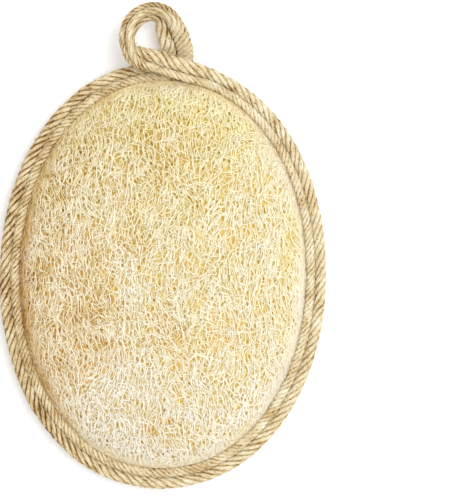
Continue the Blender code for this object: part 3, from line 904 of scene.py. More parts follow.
def stitch_tree(material):
    """Lays one stitch after another along each guide line, each rising out of the work and back."""
    inputs = {"Stitch Length": 3.2 * MM, "Thread Radius": 0.24 * MM, "Rise": 0.5 * MM}
    tree, add, given = new_tree("Stitch line", inputs)
    line = add("GeometryNodeMeshToCurve", {"Mesh": given["Geometry"]})
    feeds = {"Curve": line, "Length": given["Stitch Length"]}
    line = add("GeometryNodeResampleCurve", feeds, mode="LENGTH")
    up = add("GeometryNodeInputNamedAttribute", ("up",), data_type="FLOAT_VECTOR")
    feeds = {"Primary Axis": add("GeometryNodeInputTangent"), "Secondary Axis": up}
    turn = add("FunctionNodeAxesToRotation", feeds, primary_axis="X", secondary_axis="Z")
    half = add("ShaderNodeMath", (given["Stitch Length"], 0.43), operation="MULTIPLY")
    back = add("ShaderNodeMath", (half, -1.0), operation="MULTIPLY")
    sunk = add("ShaderNodeMath", (given["Rise"], -0.8), operation="MULTIPLY")
    start = add("ShaderNodeCombineXYZ", {"X": back, "Z": sunk})
    end = add("ShaderNodeCombineXYZ", {"X": half, "Z": sunk})
    top = add("ShaderNodeMath", (given["Rise"], 1.6), operation="MULTIPLY")
    middle = add("ShaderNodeCombineXYZ", {"Z": top})
    feeds = {"Resolution": 7, "Start": start, "Middle": middle, "End": end}
    bow = add("GeometryNodeCurveQuadraticBezier", feeds)
    profile = add("GeometryNodeCurvePrimitiveCircle", {"Resolution": 6, "Radius": given["Thread Radius"]})
    stitch = add("GeometryNodeCurveToMesh", {"Curve": bow, "Profile Curve": profile, "Fill Caps": True})
    stitch = add("GeometryNodeSetShadeSmooth", {"Geometry": stitch, "Shade Smooth": True})
    stitches = add("GeometryNodeInstanceOnPoints", {"Points": line, "Instance": stitch, "Rotation": turn})
    return end_tree(tree, stitches, material)


# The seams: their inset, and each one's height, its gap at the loop and the way its stitches rise
SEAM_INSET = 4.45 * MM
FACE_SEAM = (6.35 * MM, (-21 * MM, 29 * MM), 1.0)
BACK_SEAM = (1.0 * MM, (-7 * MM, 16 * MM), -1.0)


def furrow_line(height, gap, up):
    """The seam in the furrow between two cords, from one side of the loop round to its other: its
    points and the way its stitches rise."""
    start, end = (oval_angle_at(x, SEAM_INSET) for x in gap)
    angles = oval_angles(300, start, end + 2 * math.pi, closed=False)
    x, y = oval_points(angles, SEAM_INSET)
    at = np.column_stack([x, y, np.full_like(x, height)])
    return at, np.tile((0.0, 0.0, up), (len(x), 1))


def relief_tree(name, material, across, along, depth, dots):
    """Raises a woven surface in ribs and dots along its own x and y, as far as "face" lets it."""
    inputs = {"Across": across, "Along": along, "Depth": depth, "Dots": dots}
    tree, add, given = new_tree(name, inputs)
    position = add("GeometryNodeInputPosition")
    split = add("ShaderNodeSeparateXYZ", (position,))
    waves = []
    for axis, spacing in (("X", "Across"), ("Y", "Along")):
        turns = add("ShaderNodeMath", (split.outputs[axis], given[spacing]), operation="DIVIDE")
        turns = add("ShaderNodeMath", (turns, 2 * math.pi), operation="MULTIPLY")
        waves.append(add("ShaderNodeMath", (turns,), operation="COSINE"))
    dotted = add("ShaderNodeMath", waves, operation="MULTIPLY")
    wave = add("ShaderNodeMix", {"Factor": given["Dots"], "A": waves[0], "B": dotted})
    face = add("GeometryNodeInputNamedAttribute", ("face",))
    height = add("ShaderNodeMath", (wave, given["Depth"]), operation="MULTIPLY")
    height = add("ShaderNodeMath", (height, face), operation="MULTIPLY")
    offset = add("ShaderNodeCombineXYZ", {"Z": height})
    cloth = add("GeometryNodeSetPosition", {"Geometry": given["Geometry"], "Offset": offset})
    cloth = add("GeometryNodeSetShadeSmooth", {"Geometry": cloth, "Shade Smooth": True})
    return end_tree(tree, cloth, material)


TERRY_COLUMNS = 480
TERRY_ROWS = 34


def terry_mesh():
    """The terry cloth: columns across the pad, close enough to carry its ribs, on both faces."""
    a = PAD_WIDTH / 2 - EDGE_INSET
    b = PAD_LENGTH / 2 - EDGE_INSET
    xs = np.linspace(-a, a, TERRY_COLUMNS + 1)[1:-1]
    reach = b * (1 - np.abs(xs / a) ** SQUARENESS) ** (1 / SQUARENESS)
    under_rows = np.linspace(-1, 1, TERRY_ROWS + 1)
    upper_rows = np.array((-1.0, -0.9, -0.6, -0.2, 0.2, 0.6, 0.9, 1.0))
    points, face = [], []
    blocks = []
    first = 0
    for rows, height, open_face in ((under_rows, terry_under, 1.0), (upper_rows, terry_top, 0.0)):
        x = np.repeat(xs, len(rows))
        y = np.outer(reach, rows).ravel()
        points.append(np.column_stack([x, y, height(x, y)]))
        depth = lip_depth(x, y)
        face.append(open_face * smooth(np.minimum(1, (depth + 1 * MM) / (3 * MM))))
        blocks.append((first, len(rows)))
        first += len(x)
    tips = []
    for x in (-a, a):
        x = np.array([x, x])
        z = np.array([terry_under(x, 0 * x)[0], terry_top(x, 0 * x)[0]])
        points.append(np.column_stack([x, 0 * x, z]))
        face.append(np.zeros(2))
        tips.append((first, first + 1))
        first += 2
    faces = []
    columns = len(xs)
    for block, (start, rows) in enumerate(blocks):
        for i in range(columns - 1):
            for j in range(rows - 1):
                a0 = start + i * rows + j
                quad = (a0, a0 + 1, a0 + rows + 1, a0 + rows)
                faces.append(quad if block == 0 else quad[::-1])
        for tip, column in ((tips[0][block], 0), (tips[1][block], columns - 1)):
            for j in range(rows - 1):
                a0 = start + column * rows + j
                triangle = (tip, a0 + 1, a0)
                if (block == 0) != (column == 0):
                    triangle = triangle[::-1]
                faces.append(triangle)
    (under, under_count), (upper, upper_count) = blocks
    for j_under, j_upper, flip in ((0, 0, False), (under_count - 1, upper_count - 1, True)):
        edge = [(tips[0][0], tips[0][1])]
        for i in range(columns):
            edge.append((under + i * under_count + j_under, upper + i * upper_count + j_upper))
        edge.append((tips[1][0], tips[1][1]))
        for (a0, b0), (a1, b1) in zip(edge, edge[1:]):
            quad = (a0, a1, b1, b0)
            faces.append(quad[::-1] if flip else quad)
    mesh = new_mesh("terry_backing", np.vstack(points), faces)
    set_attribute(mesh, "face", np.concatenate(face))
    return mesh


def strap_mesh():
    """The strap: a closed band with rounded selvedges, close enough in points for its weave."""
    across, along = 60, 190
    half = STRAP_WIDTH / 2
    ys = np.linspace(-half + 0.3 * MM, half - 0.3 * MM, across)
    # Rounded selvedge: the two faces draw together over the last millimetre
    edge = np.minimum(1, (half - np.abs(ys)) / (1.3 * MM))
    thick = STRAP_THICKNESS * (0.45 + 0.55 * np.sqrt(np.clip(edge, 0, 1)))
    xs = np.linspace(-STRAP_HALF_LENGTH, STRAP_HALF_LENGTH, along)
    level = STRAP_UNDER + STRAP_THICKNESS / 2
    points, face = [], []
    for sign in (-1, 1):
        for x in xs:
            points.append(np.column_stack([np.full(across, x), ys, level + sign * thick / 2]))
            face.append(sign * smooth(np.clip((half - np.abs(ys)) / (1.6 * MM), 0, 1)))
    faces = []
    block = along * across
    for i in range(along - 1):
        for j in range(across - 1):
            a0 = i * across + j
            quad = (a0, a0 + 1, a0 + across + 1, a0 + across)
            faces.append(quad)
            faces.append(tuple(block + k for k in reversed(quad)))
    rim = [i * across for i in range(along)]
    rim += [(along - 1) * across + j for j in range(1, across)]
    rim += [i * across + across - 1 for i in range(along - 2, -1, -1)]
    rim += list(range(across - 2, 0, -1))
    for a0, a1 in zip(rim, rim[1:] + rim[:1]):
        faces.append((a0, a1, block + a1, block + a0))
    mesh = new_mesh("hand_strap", np.vstack(points), faces)
    set_attribute(mesh, "face", np.concatenate(face))
    return mesh


# Materials


def new_material(name):
    """A material, and the function that adds nodes to it."""
    material = bpy.data.materials.new(name)
    material.use_nodes = True
    return material, partial(add_node, material.node_tree)


def end_material(material, feeds):
    """Every material ends with the values and links of its shader."""
    tree = material.node_tree
    fill(tree, tree.nodes["Principled BSDF"], feeds)
    return material


def loofah_shades(add):
    """How the mat's colour drifts over the pad: browner at the left, partly its own colour and partly
    painted shade of the side away from the key light; yellower towards the loop; and whiter at the
    foot, which is painted light. Returns the two factors."""
    place = add("ShaderNodeTexCoord").outputs["Object"]
    split = add("ShaderNodeSeparateXYZ", (place,))
    drift = add("ShaderNodeTexNoise", {"Vector": place, "Scale": 1 / (30 * MM), "Detail": 3.0})
    drift = add("ShaderNodeMapRange", (drift, 0.3, 0.7, -0.25, 0.25))
    left = add("ShaderNodeMapRange", (split.outputs["X"], 60 * MM, -64 * MM))
    left = add("ShaderNodeMath", (left, drift), operation="ADD", use_clamp=True)
    head = add("ShaderNodeMapRange", (split.outputs["Y"], -85 * MM, 65 * MM))
    head = add("ShaderNodeMath", (head, drift), operation="ADD", use_clamp=True)
    return place, left, head


def add_margin(add, colour, left, head):
    """Along the binding the mat is pressed flat: tan at the left, partly its own colour and partly
    painted shade; pale at the right; and golden towards the loop, where the lighter colour is painted
    light over the binding's shadow. The dark line at the seam is painted shade in the crease."""
    depth = add("ShaderNodeAttribute", attribute_name="depth").outputs["Fac"]
    place = add("ShaderNodeTexCoord").outputs["Object"]
    fray = add("ShaderNodeTexNoise", {"Vector": place, "Scale": 1 / (1.2 * MM), "Detail": 2.0})
    fray = add("ShaderNodeMath", (fray, 2.4 * MM, -1.2 * MM), operation="MULTIPLY_ADD")
    depth = add("ShaderNodeMath", (depth, fray), operation="ADD")
    side = add("ShaderNodeMath", (left, 0.45), operation="SUBTRACT")
    side = add("ShaderNodeMath", (side,), operation="ABSOLUTE")
    reach = add("ShaderNodeMapRange", (side, 0.05, 0.5, 4.2 * MM, 6.8 * MM))
    most = add("ShaderNodeMapRange", (head, 0.3, 0.5, 0.72, 0.5))
    feeds = (most, add("ShaderNodeMapRange", (left, 0.35, 0.1, 0.0, 0.25)))
    most = add("ShaderNodeMath", feeds, operation="ADD")
    near = add("ShaderNodeMapRange", (depth, 0.2 * MM, reach, most, 0.0), interpolation_type="SMOOTHSTEP")
    # The margin's colour across the pad: its tan at the left is partly painted shade
    stops = ((0.3, "FBF1DC"), (0.6, "FAEECC"), (0.8, "E4BC78"), (0.98, "CE9A4A"))
    edge = add("ShaderNodeValToRGB", (left,), stops=stops)
    # Lighter and golden towards the loop: painted light over the binding's shadow
    golden = add("ShaderNodeMapRange", (head, 0.6, 1.0, 0.0, 0.8))
    edge = add("ShaderNodeMix", {"Factor": golden, "A": edge, "B": linear("F8E0A0")}, data_type="RGBA")
    margin = add("ShaderNodeMix", {"Factor": near, "A": colour, "B": edge}, data_type="RGBA")
    # The dark line at the seam, strongest at the left: painted shade in the crease against the binding
    strength = add("ShaderNodeMapRange", (left, 0.45, 1.0, 0.0, 0.4))
    feeds = (strength, add("ShaderNodeMapRange", (head, 0.45, 0.8, 1.0, 0.2)))
    strength = add("ShaderNodeMath", feeds, operation="MULTIPLY")
    seam = add("ShaderNodeMapRange", (depth, 0.1 * MM, 0.9 * MM, strength, 0.0))
    painted_seam_shade = add("ShaderNodeValToRGB", (left,), stops=((0.3, "C9A66A"), (0.62, "A07A40"), (0.95, "7E5626")))
    return add("ShaderNodeMix", {"Factor": seam, "A": margin, "B": painted_seam_shade}, data_type="RGBA")


def loofah_fibre_material(settings):
    """Dried loofah fibre: matt, pale strands, so fine that they glow, over golden deeper ones. How dark
    and golden a fibre is follows how low it lies: partly its own colour and partly painted shade.
    """
    material, add = new_material("dried loofah fibre")
    place, left, head = loofah_shades(add)
    # The lower a fibre lies, the darker and more golden it is painted: partly painted shade
    above = add("ShaderNodeAttribute", attribute_name="above").outputs["Fac"]
    above = add("ShaderNodeMapRange", (above, -0.55 * MM, 0.4 * MM))
    tone = add("ShaderNodeAttribute", attribute_name="tone").outputs["Fac"]
    wobble = add("ShaderNodeMath", (tone, 0.34), operation="MULTIPLY")
    depth = add("ShaderNodeMath", (above, wobble), operation="ADD")
    depth = add("ShaderNodeMath", (depth, 0.17), operation="SUBTRACT")
    # Patches of the web are closer and whiter. The web is also painted whiter towards the pad's right
    # and at the foot and darker towards its left: painted light and shade of the key light
    patch = add("ShaderNodeTexNoise", {"Vector": place, "Scale": 1 / (9 * MM), "Detail": 2.0})
    patch = add("ShaderNodeMapRange", (patch, 0.35, 0.65, -0.12, 0.16))
    depth = add("ShaderNodeMath", (depth, patch), operation="ADD")
    feeds = (depth, add("ShaderNodeMapRange", (left, 0.4, 1.0, 0.04, -0.1)))
    depth = add("ShaderNodeMath", feeds, operation="ADD")
    feeds = (depth, add("ShaderNodeMapRange", (head, 0.0, 0.4, 0.12, 0.0)))
    depth = add("ShaderNodeMath", feeds, operation="ADD")
    stops = ((0.0, "EDC45C"), (0.3, "F4DF94"), (0.62, "F7EFD1"), (1.0, settings.fibre_colour))
    pale = add("ShaderNodeValToRGB", (depth,), stops=stops)
    stops = ((0.0, "E6C450"), (0.3, "ECD576"), (0.62, "F4E7A6"), (1.0, "F9F0CA"))
    gold = add("ShaderNodeValToRGB", (depth,), stops=stops)
    colour = add("ShaderNodeMix", {"Factor": head, "A": pale, "B": gold}, data_type="RGBA")
    # Browner at the left, less so towards the loop: partly the mat's own colour, partly painted shade
    stops = ((0.0, "B97B24"), (0.3, "D4A650"), (0.62, "E9D192"), (1.0, "FAEED0"))
    tan = add("ShaderNodeValToRGB", (depth,), stops=stops)
    most = add("ShaderNodeMapRange", (head, 0.6, 0.95, 0.95, 0.45))
    brown = add("ShaderNodeMapRange", (left, 0.45, 0.95, 0.0, most))
    colour = add("ShaderNodeMix", {"Factor": brown, "A": colour, "B": tan}, data_type="RGBA")
    colour = add_margin(add, colour, left, head)
    grain = add("ShaderNodeTexNoise", {"Vector": place, "Scale": 1 / (0.35 * MM), "Detail": 2.0})
    bump = add("ShaderNodeBump", {"Height": grain, "Distance": 0.05 * MM, "Strength": 0.5})
    feeds = {"Roughness": 0.62, "IOR": 1.45, "Specular IOR Level": 0.35}
    return end_material(material, {**feeds, "Base Color": colour, "Normal": bump})


def loofah_ground_material(settings):
    """The mat's depth: golden, painted browner and darker towards the bottom of its gaps as shade, and
    browner at the left, partly its own colour and partly painted shade.
    """
    material, add = new_material("loofah mat depth")
    place, left, head = loofah_shades(add)
    pit = add("ShaderNodeAttribute", attribute_name="pit").outputs["Fac"]
    mottle = add("ShaderNodeTexNoise", {"Vector": place, "Scale": 1 / (1.4 * MM), "Detail": 3.0})
    mottle = add("ShaderNodeMapRange", (mottle, 0.3, 0.7, -0.22, 0.22))
    depth = add("ShaderNodeMath", (pit, mottle), operation="ADD", use_clamp=True)
    # Darker and browner deeper into a gap: painted shade
    stops = ((0.0, settings.depth_colour), (0.45, "EBC754"), (1.0, "E0A62C"))
    golden = add("ShaderNodeValToRGB", (depth,), stops=stops)
    olive = add("ShaderNodeValToRGB", (depth,), stops=((0.0, "CFA347"), (0.45, "AE7F2C"), (1.0, "805412")))
    orange = add("ShaderNodeValToRGB", (depth,), stops=((0.0, "F0B64C"), (0.45, "E09828"), (1.0, "B96C12")))
    feeds = {"Factor": add("ShaderNodeMapRange", (head, 0.7, 0.3)), "A": olive, "B": orange}
    brown = add("ShaderNodeMix", feeds, data_type="RGBA")
    # Browner at the left: partly the mat's own colour, partly painted shade
    amount = add("ShaderNodeMapRange", (left, 0.4, 0.95))
    colour = add("ShaderNodeMix", {"Factor": amount, "A": golden, "B": brown}, data_type="RGBA")
    colour = add_margin(add, colour, left, head)
    bump = add("ShaderNodeBump", {"Height": mottle, "Distance": 0.4 * MM, "Strength": 0.7})
    feeds = {"Roughness": 0.8, "IOR": 1.45, "Specular IOR Level": 0.2}
    return end_material(material, {**feeds, "Base Color": colour, "Normal": bump})


def jute_material(settings):
    """Spun jute: dry, straw-coloured fibres that run along each strand. The furrows and the flanks
    where cords touch are painted browner as shade, and the cords are painted paler towards the pad's
    right as light from the key softbox.
    """
    material, add = new_material("spun jute cord")
    names = ("along", "strand", "proud", "rise", "ease")
    factors = [add("ShaderNodeAttribute", attribute_name=name).outputs["Fac"] for name in names]
    along, strand, proud, rise, ease = factors
    around = add("ShaderNodeAttribute", attribute_name="round").outputs["Vector"]
    stretch = add("ShaderNodeMath", (along, 1 / (2.4 * MM)), operation="MULTIPLY")
    shift = add("ShaderNodeMath", (strand, 31.7), operation="MULTIPLY")
    stretch = add("ShaderNodeMath", (stretch, shift), operation="ADD")
    split = add("ShaderNodeSeparateXYZ", (around,))
    # Four or so tufts of fibre show across a strand that is 2.2 mm thick
    sides = [add("ShaderNodeMath", (split.outputs[a], 2.3), operation="MULTIPLY") for a in ("X", "Y")]
    spun = add("ShaderNodeCombineXYZ", (stretch, *sides))
    fibres = add("ShaderNodeTexNoise", {"Vector": spun, "Scale": 1.0, "Detail": 3.0, "Roughness": 0.62})
    place = add("ShaderNodeTexCoord").outputs["Object"]
    blotch = add("ShaderNodeTexNoise", {"Vector": place, "Scale": 1 / (7 * MM), "Detail": 2.0})
    streak = add("ShaderNodeMapRange", (fibres, 0.3, 0.7, -0.3, 0.26))
    blotch = add("ShaderNodeMapRange", (blotch, 0.35, 0.65, -0.14, 0.14))
    # The painted shade of the furrows is darker towards the pad's left, away from the key light, and
    # on the loop
    side = add("ShaderNodeSeparateXYZ", (place,))
    painted_furrow_shade = add("ShaderNodeMapRange", (side.outputs["Y"], 86 * MM, 94 * MM, 0.0, -0.2))
    feeds = (painted_furrow_shade, add("ShaderNodeMapRange", (side.outputs["X"], -50 * MM, 20 * MM, 0.0, 0.2)))
    painted_furrow_shade = add("ShaderNodeMath", feeds, operation="ADD")
    # Valleys between strands are painted darker: painted shade
    crest = add("ShaderNodeMapRange", (proud, 0.72, 0.9, painted_furrow_shade, 0.6))
    # Bark specks, the jute's own marks. The cord is painted paler towards the pad's right, as light
    # from the key softbox, and darker on its flanks, as shade where it lies against its neighbour
    speck = add("ShaderNodeTexNoise", {"Vector": place, "Scale": 1 / (0.9 * MM), "Detail": 2.0})
    speck = add("ShaderNodeMapRange", (speck, 0.57, 0.7, 0.0, -0.4))
    side = add("ShaderNodeMapRange", (side.outputs["X"], -65 * MM, 65 * MM, -0.08, 0.1))
    painted_flank_shade = add("ShaderNodeMapRange", (rise, 0.05, 0.5, -0.18, 0.02))
    shade = add("ShaderNodeMath", (crest, streak), operation="ADD")
    for part in (blotch, speck, side, painted_flank_shade):
        shade = add("ShaderNodeMath", (shade, part), operation="ADD")
    ease = add("ShaderNodeMath", (ease, 0.35), operation="MULTIPLY")
    shade = add("ShaderNodeMix", {"Factor": ease, "A": shade, "B": 0.85})
    stops = ((0.0, "644019"), (0.22, "A3834C"), (0.5, settings.jute_colour), (0.8, "DDD2B4"), (1.0, "F1EADA"))
    colour = add("ShaderNodeValToRGB", (shade,), stops=stops)
    bump = add("ShaderNodeBump", {"Height": fibres, "Distance": 0.35 * MM, "Strength": 0.8})
    feeds = {"Roughness": 0.78, "IOR": 1.48, "Specular IOR Level": 0.3}
    return end_material(material, {**feeds, "Base Color": colour, "Normal": bump})


def jute_core_material():
    """The tape that joins the cords, seen only as the dark line between them. Its dark brown is
    painted shade of the crevice between the cords.
    """
    material, add = new_material("jute tape")
    place = add("ShaderNodeTexCoord").outputs["Object"]
    weave = add("ShaderNodeTexNoise", {"Vector": place, "Scale": 1 / (0.8 * MM), "Detail": 3.0})
    # Dark brown: painted shade of the crevice between the cords
    stops = ((0.3, "6F5028"), (0.5, "96743F"), (0.7, "BFA069"))
    colour = add("ShaderNodeValToRGB", (weave,), stops=stops)
    bump = add("ShaderNodeBump", {"Height": weave, "Distance": 0.5 * MM, "Strength": 0.8})
    return end_material(material, {"Roughness": 0.9, "IOR": 1.48, "Base Color": colour, "Normal": bump})


def jute_hair_material():
    """Single jute hairs, a little shinier than the cord that they come out of."""
    material, _ = new_material("loose jute hair")
    return end_material(material, {"Roughness": 0.55, "IOR": 1.48, "Base Color": linear("D6C296")})


def terry_material(settings):
    """Undyed cotton terry: soft and ivory, with knitted dots along each rib. Each dot is painted
    lighter at its middle and darker towards its edge: painted light and shade of its relief.
    """
    material, add = new_material("undyed cotton terry")
    place = add("ShaderNodeTexCoord").outputs["Object"]
    scale = (1 / (0.62 * MM), 1 / (0.9 * MM), 0.0)
    loops = add("ShaderNodeVectorMath", (place, scale), operation="MULTIPLY")
    feeds = {"Vector": loops, "Scale": 1.0, "Randomness": 0.6}
    loops = add("ShaderNodeTexVoronoi", feeds, voronoi_dimensions="2D")
    cloud = add("ShaderNodeTexNoise", {"Vector": place, "Scale": 1 / (18 * MM), "Detail": 4.0})
    cloud = add("ShaderNodeMapRange", (cloud, 0.3, 0.7, -0.1, 0.1))
    # Lighter at each loop's middle, darker towards its edge: painted light and shade
    shade = add("ShaderNodeMath", (loops.outputs["Distance"], cloud), operation="ADD", use_clamp=True)
    stops = ((0.0, "FFFDF6"), (0.45, settings.terry_colour), (0.85, "EAE2CC"))
    colour = add("ShaderNodeValToRGB", (shade,), stops=stops)
    feeds = {"Height": loops.outputs["Distance"], "Distance": 0.35 * MM, "Strength": 0.9}
    bump = add("ShaderNodeBump", feeds, invert=True)
    feeds = {"Base Color": colour, "Normal": bump, "Roughness": 0.95, "IOR": 1.5}
    feeds.update({"Sheen Weight": 0.25, "Sheen Roughness": 0.6, "Specular IOR Level": 0.2})
    return end_material(material, feeds)


def strap_material(settings):
    """Woven elastic webbing: smooth grey-lilac yarn with a fine dotted weave."""
    material, add = new_material("woven elastic webbing")
    place = add("ShaderNodeTexCoord").outputs["Object"]
    split = add("ShaderNodeSeparateXYZ", (place,))
    yarn = add("ShaderNodeMath", (split.outputs["Y"], 2 * math.pi / (0.5 * MM)), operation="MULTIPLY")
    yarn = add("ShaderNodeMath", (yarn,), operation="SINE")
    cloud = add("ShaderNodeTexNoise", {"Vector": place, "Scale": 1 / (3 * MM), "Detail": 3.0})
    shade = add("ShaderNodeMapRange", (cloud, 0.3, 0.7, 0.2, 0.8))
    stops = ((0.0, "CECBCA"), (1.0, settings.strap_colour))
    colour = add("ShaderNodeValToRGB", (shade,), stops=stops)
    bump = add("ShaderNodeBump", {"Height": yarn, "Distance": 0.08 * MM, "Strength": 0.6})
    feeds = {"Roughness": 0.6, "IOR": 1.5, "Sheen Weight": 0.15}
    return end_material(material, {**feeds, "Base Color": colour, "Normal": bump})


def thread_material(settings):
    """Cotton sewing thread: cream, with the fine turns of its ply painted as darker stripes: painted
    shade.
    """
    material, add = new_material("cotton sewing thread")
    place = add("ShaderNodeTexCoord").outputs["Object"]
    # The ply's turns as darker stripes: painted shade
    ply = add("ShaderNodeTexWave", {"Vector": place, "Scale": 1 / (1.2 * MM), "Distortion": 1.5})
    stops = ((0.0, "D9CBA6"), (1.0, settings.thread_colour))
    colour = add("ShaderNodeValToRGB", (ply.outputs[1],), stops=stops)
    return end_material(material, {"Roughness": 0.6, "IOR": 1.5, "Base Color": colour})


def add_core(name, mesh, node):
    """A piece of the bare tape between the cords."""
    mesh.materials.append(bpy.data.materials.get("jute tape") or jute_core_material())
    mesh.shade_smooth()
    add_piece(name, mesh, node)


# Settings, an operator for each group of pieces, and the panel


def a_length(name, description, default, least=0.0):
    return FloatProperty(name=name, description=description, default=default, min=least, unit="LENGTH")


def a_colour(name, description, code):
    usual = linear(code)[:3]
    return FloatVectorProperty(
        name=name, description=description, default=usual, subtype="COLOR", min=0, max=1
    )


class LoofahPadSettings(bpy.types.PropertyGroup):
    fibre_length: a_length("Fibre length", "Middle length of the loofah fibres", 3.9 * MM, 1 * MM)
    fibre_thickness: a_length("Fibre thickness", "Thickness of the loofah fibres", 0.33 * MM, 0.1 * MM)
    fibre_count: IntProperty(
        name="Fibres a layer",
        description="How many fibres a full layer of the mat has, of its four",
        default=6600,
        min=100,
    )
    pit_depth: a_length("Gap depth", "How deep the gaps of the loofah's net are", 1.1 * MM)
    cord_pitch: a_length(
        "Cord pitch", "Length along a cord in which a strand goes once round", 18.5 * MM, 4 * MM
    )
    inner_pitch: a_length(
        "Inner cord pitch", "The same length for the finer cord beside the loofah", 11.0 * MM, 4 * MM
    )
    hair_density: FloatProperty(
        name="Hairs a square mm",
        description="How many loose hairs stand on a square millimetre of cord",
        default=0.05,
        min=0,
    )
    stitch_length: a_length("Stitch length", "Distance from one stitch to the next", 3.2 * MM, 1 * MM)
    rib_spacing: a_length("Rib spacing", "Distance between the terry cloth's ribs", 1.24 * MM, 0.5 * MM)
    key_strength: FloatProperty(
        name="Key light",
        description="Strength of the softbox at the right and of the lamp under the table",
        default=1.6,
        min=0,
        unit="POWER",
    )
    fibre_colour: a_colour("Loofah fibre", "Colour of the mat's uppermost, palest fibres", "FAF5E7")
    depth_colour: a_colour("Loofah depth", "Colour of the mat between its fibres", "F2DA84")
    jute_colour: a_colour("Jute", "Middle colour of the jute cords", "C7B58D")
    terry_colour: a_colour("Terry cloth", "Middle colour of the terry cloth", "F8F4E8")
    strap_colour: a_colour("Elastic strap", "Palest colour of the elastic strap", "E5E2E2")
    thread_colour: a_colour("Sewing thread", "Palest colour of the sewing thread", "F4EBD2")
    floor_colour: a_colour("Floor", "Colour of the floor", "EEEEEF")


def add_area_light(name, place, target, size, power):
    light = bpy.data.lights.new(name, "AREA")
    light.shape = "SQUARE"
    light.size = size
    light.energy = power
    obj = bpy.data.objects.new(name, light)
    obj.location = place
    obj.rotation_euler = (Vector(target) - Vector(place)).to_track_quat("-Z", "Y").to_euler()
    bpy.context.scene.collection.objects.link(obj)


class LOOFAH_OT_stage(bpy.types.Operator):
    """Sets up the pale floor, the soft light and the camera"""

    bl_idname = "loofah.stage"
    bl_label = "Floor, light and camera"

    def execute(self, context):
        settings = context.scene.loofah_pad
        scene = context.scene
        scene.view_settings.view_transform = "Standard"
        half = 4.0
        corners = [(-half, -half, 0), (half, -half, 0), (half, half, 0), (-half, half, 0)]
        mesh = bpy.data.meshes.new("floor")
        mesh.from_pydata(corners, [], [(0, 1, 2, 3)])
        mesh.materials.append(self.floor_material(settings))
        floor = add_object("floor", mesh)
        floor.visible_shadow = False

        world = bpy.data.worlds.new("studio")
        world.use_nodes = True
        feeds = {"Color": (1.0, 1.0, 1.0, 1.0), "Strength": 1.02}
        fill(world.node_tree, world.node_tree.nodes["Background"], feeds)
        scene.world = world
        middle = (0, -10 * MM, 8 * MM)
        power = settings.key_strength
        add_area_light("key softbox", (0.44, 0.06, 0.96), middle, size=0.7, power=4 * power)
        add_area_light("lamp under the table", (0, 0, -1.2), middle, size=1.5, power=8 * power)

        # The camera looks almost straight down, and the pad stands left of the frame's middle
        tilt = math.radians(3.0)
        roll = math.radians(0.7)
        frame_height = 0.1985
        camera_data = bpy.data.cameras.new("camera")
        camera_data.lens = 85
        camera_data.sensor_width = 36
        distance = frame_height * camera_data.lens / camera_data.sensor_width
        camera = bpy.data.objects.new("camera", camera_data)
        target = Vector((26.7 * MM, -2.3 * MM, 7 * MM))
        back = Vector((0, -math.sin(tilt), math.cos(tilt)))
        camera.location = target + back * distance
        turned = (-back).to_track_quat("-Z", "Y").to_matrix()
        camera.rotation_euler = (turned @ Matrix.Rotation(roll, 3, "Z")).to_euler()
        scene.collection.objects.link(camera)
        scene.camera = camera
        return {"FINISHED"}

    def floor_material(self, settings):
        """White paper sweep, lit from behind so that shadows on it are faint. It doesn't show from
        below."""
        material, add = new_material("backlit white paper sweep")
        tree = material.node_tree
        glow = {"Emission Color": (1.0, 1.0, 1.0, 1.0), "Emission Strength": 0.05}
        feeds = {"Base Color": (*settings.floor_colour, 1.0), "Roughness": 0.9, "Specular IOR Level": 0.1}
        end_material(material, {**feeds, **glow})
        under = add("ShaderNodeNewGeometry").outputs["Backfacing"]
        feeds = (under, tree.nodes["Principled BSDF"], add("ShaderNodeBsdfTransparent"))
        mix = add("ShaderNodeMixShader", feeds)
        fill(tree, tree.nodes["Material Output"], {"Surface": mix})
        return material


class LOOFAH_OT_mat(bpy.types.Operator):
    """Makes the loofah mat: its pitted ground and four layers of fibres"""

    bl_idname = "loofah.mat"
    bl_label = "Loofah mat"

    def execute(self, context):
        settings = context.scene.loofah_pad
        guide = add_object("ground guide", ground_mesh())
        mesh = grow(guide, ground_tree(loofah_ground_material(settings)), {"Pit Depth": settings.pit_depth})
        add_piece("loofah_ground", mesh, "loofah_mat")
        tree = fibre_tree(loofah_fibre_material(settings))
        layers = (
            # name, seed, lift, heave, share of the count, of the length, parting, points
            ("loofah_fibres_deep", 5, -0.4, 0.4, 0.6, 1.0, 0.5, 3),
            ("loofah_fibres_middle", 6, -0.15, 0.4, 1.0, 0.9, 0.9, 4),
            ("loofah_fibres_upper", 7, 0.05, 0.45, 0.88, 1.05, 1.0, 5),
            ("loofah_fibres_top", 8, 0.2, 0.5, 0.74, 1.2, 1.0, 6),
        )
        for name, seed, lift, heave, share, reach, parting, points in layers:
            values = {
                "Density": settings.fibre_count * share / MAT_AREA,
                "Length": settings.fibre_length * reach,
                "Thickness": settings.fibre_thickness,
                "Lift": lift * MM,
                "Heave": heave * MM,
                "Parting": parting,
                "Points": points,
                "Seed": seed,
            }
            add_piece(name, grow(drape_guide(), tree, values), "loofah_mat")
        return {"FINISHED"}


# Each cord starts at its own turn, so that the lobes of neighbours don't line up
RING_STARTS = (0.0, 2.1)
OUTER_PAIR_STARTS = (0.4, 2.9)


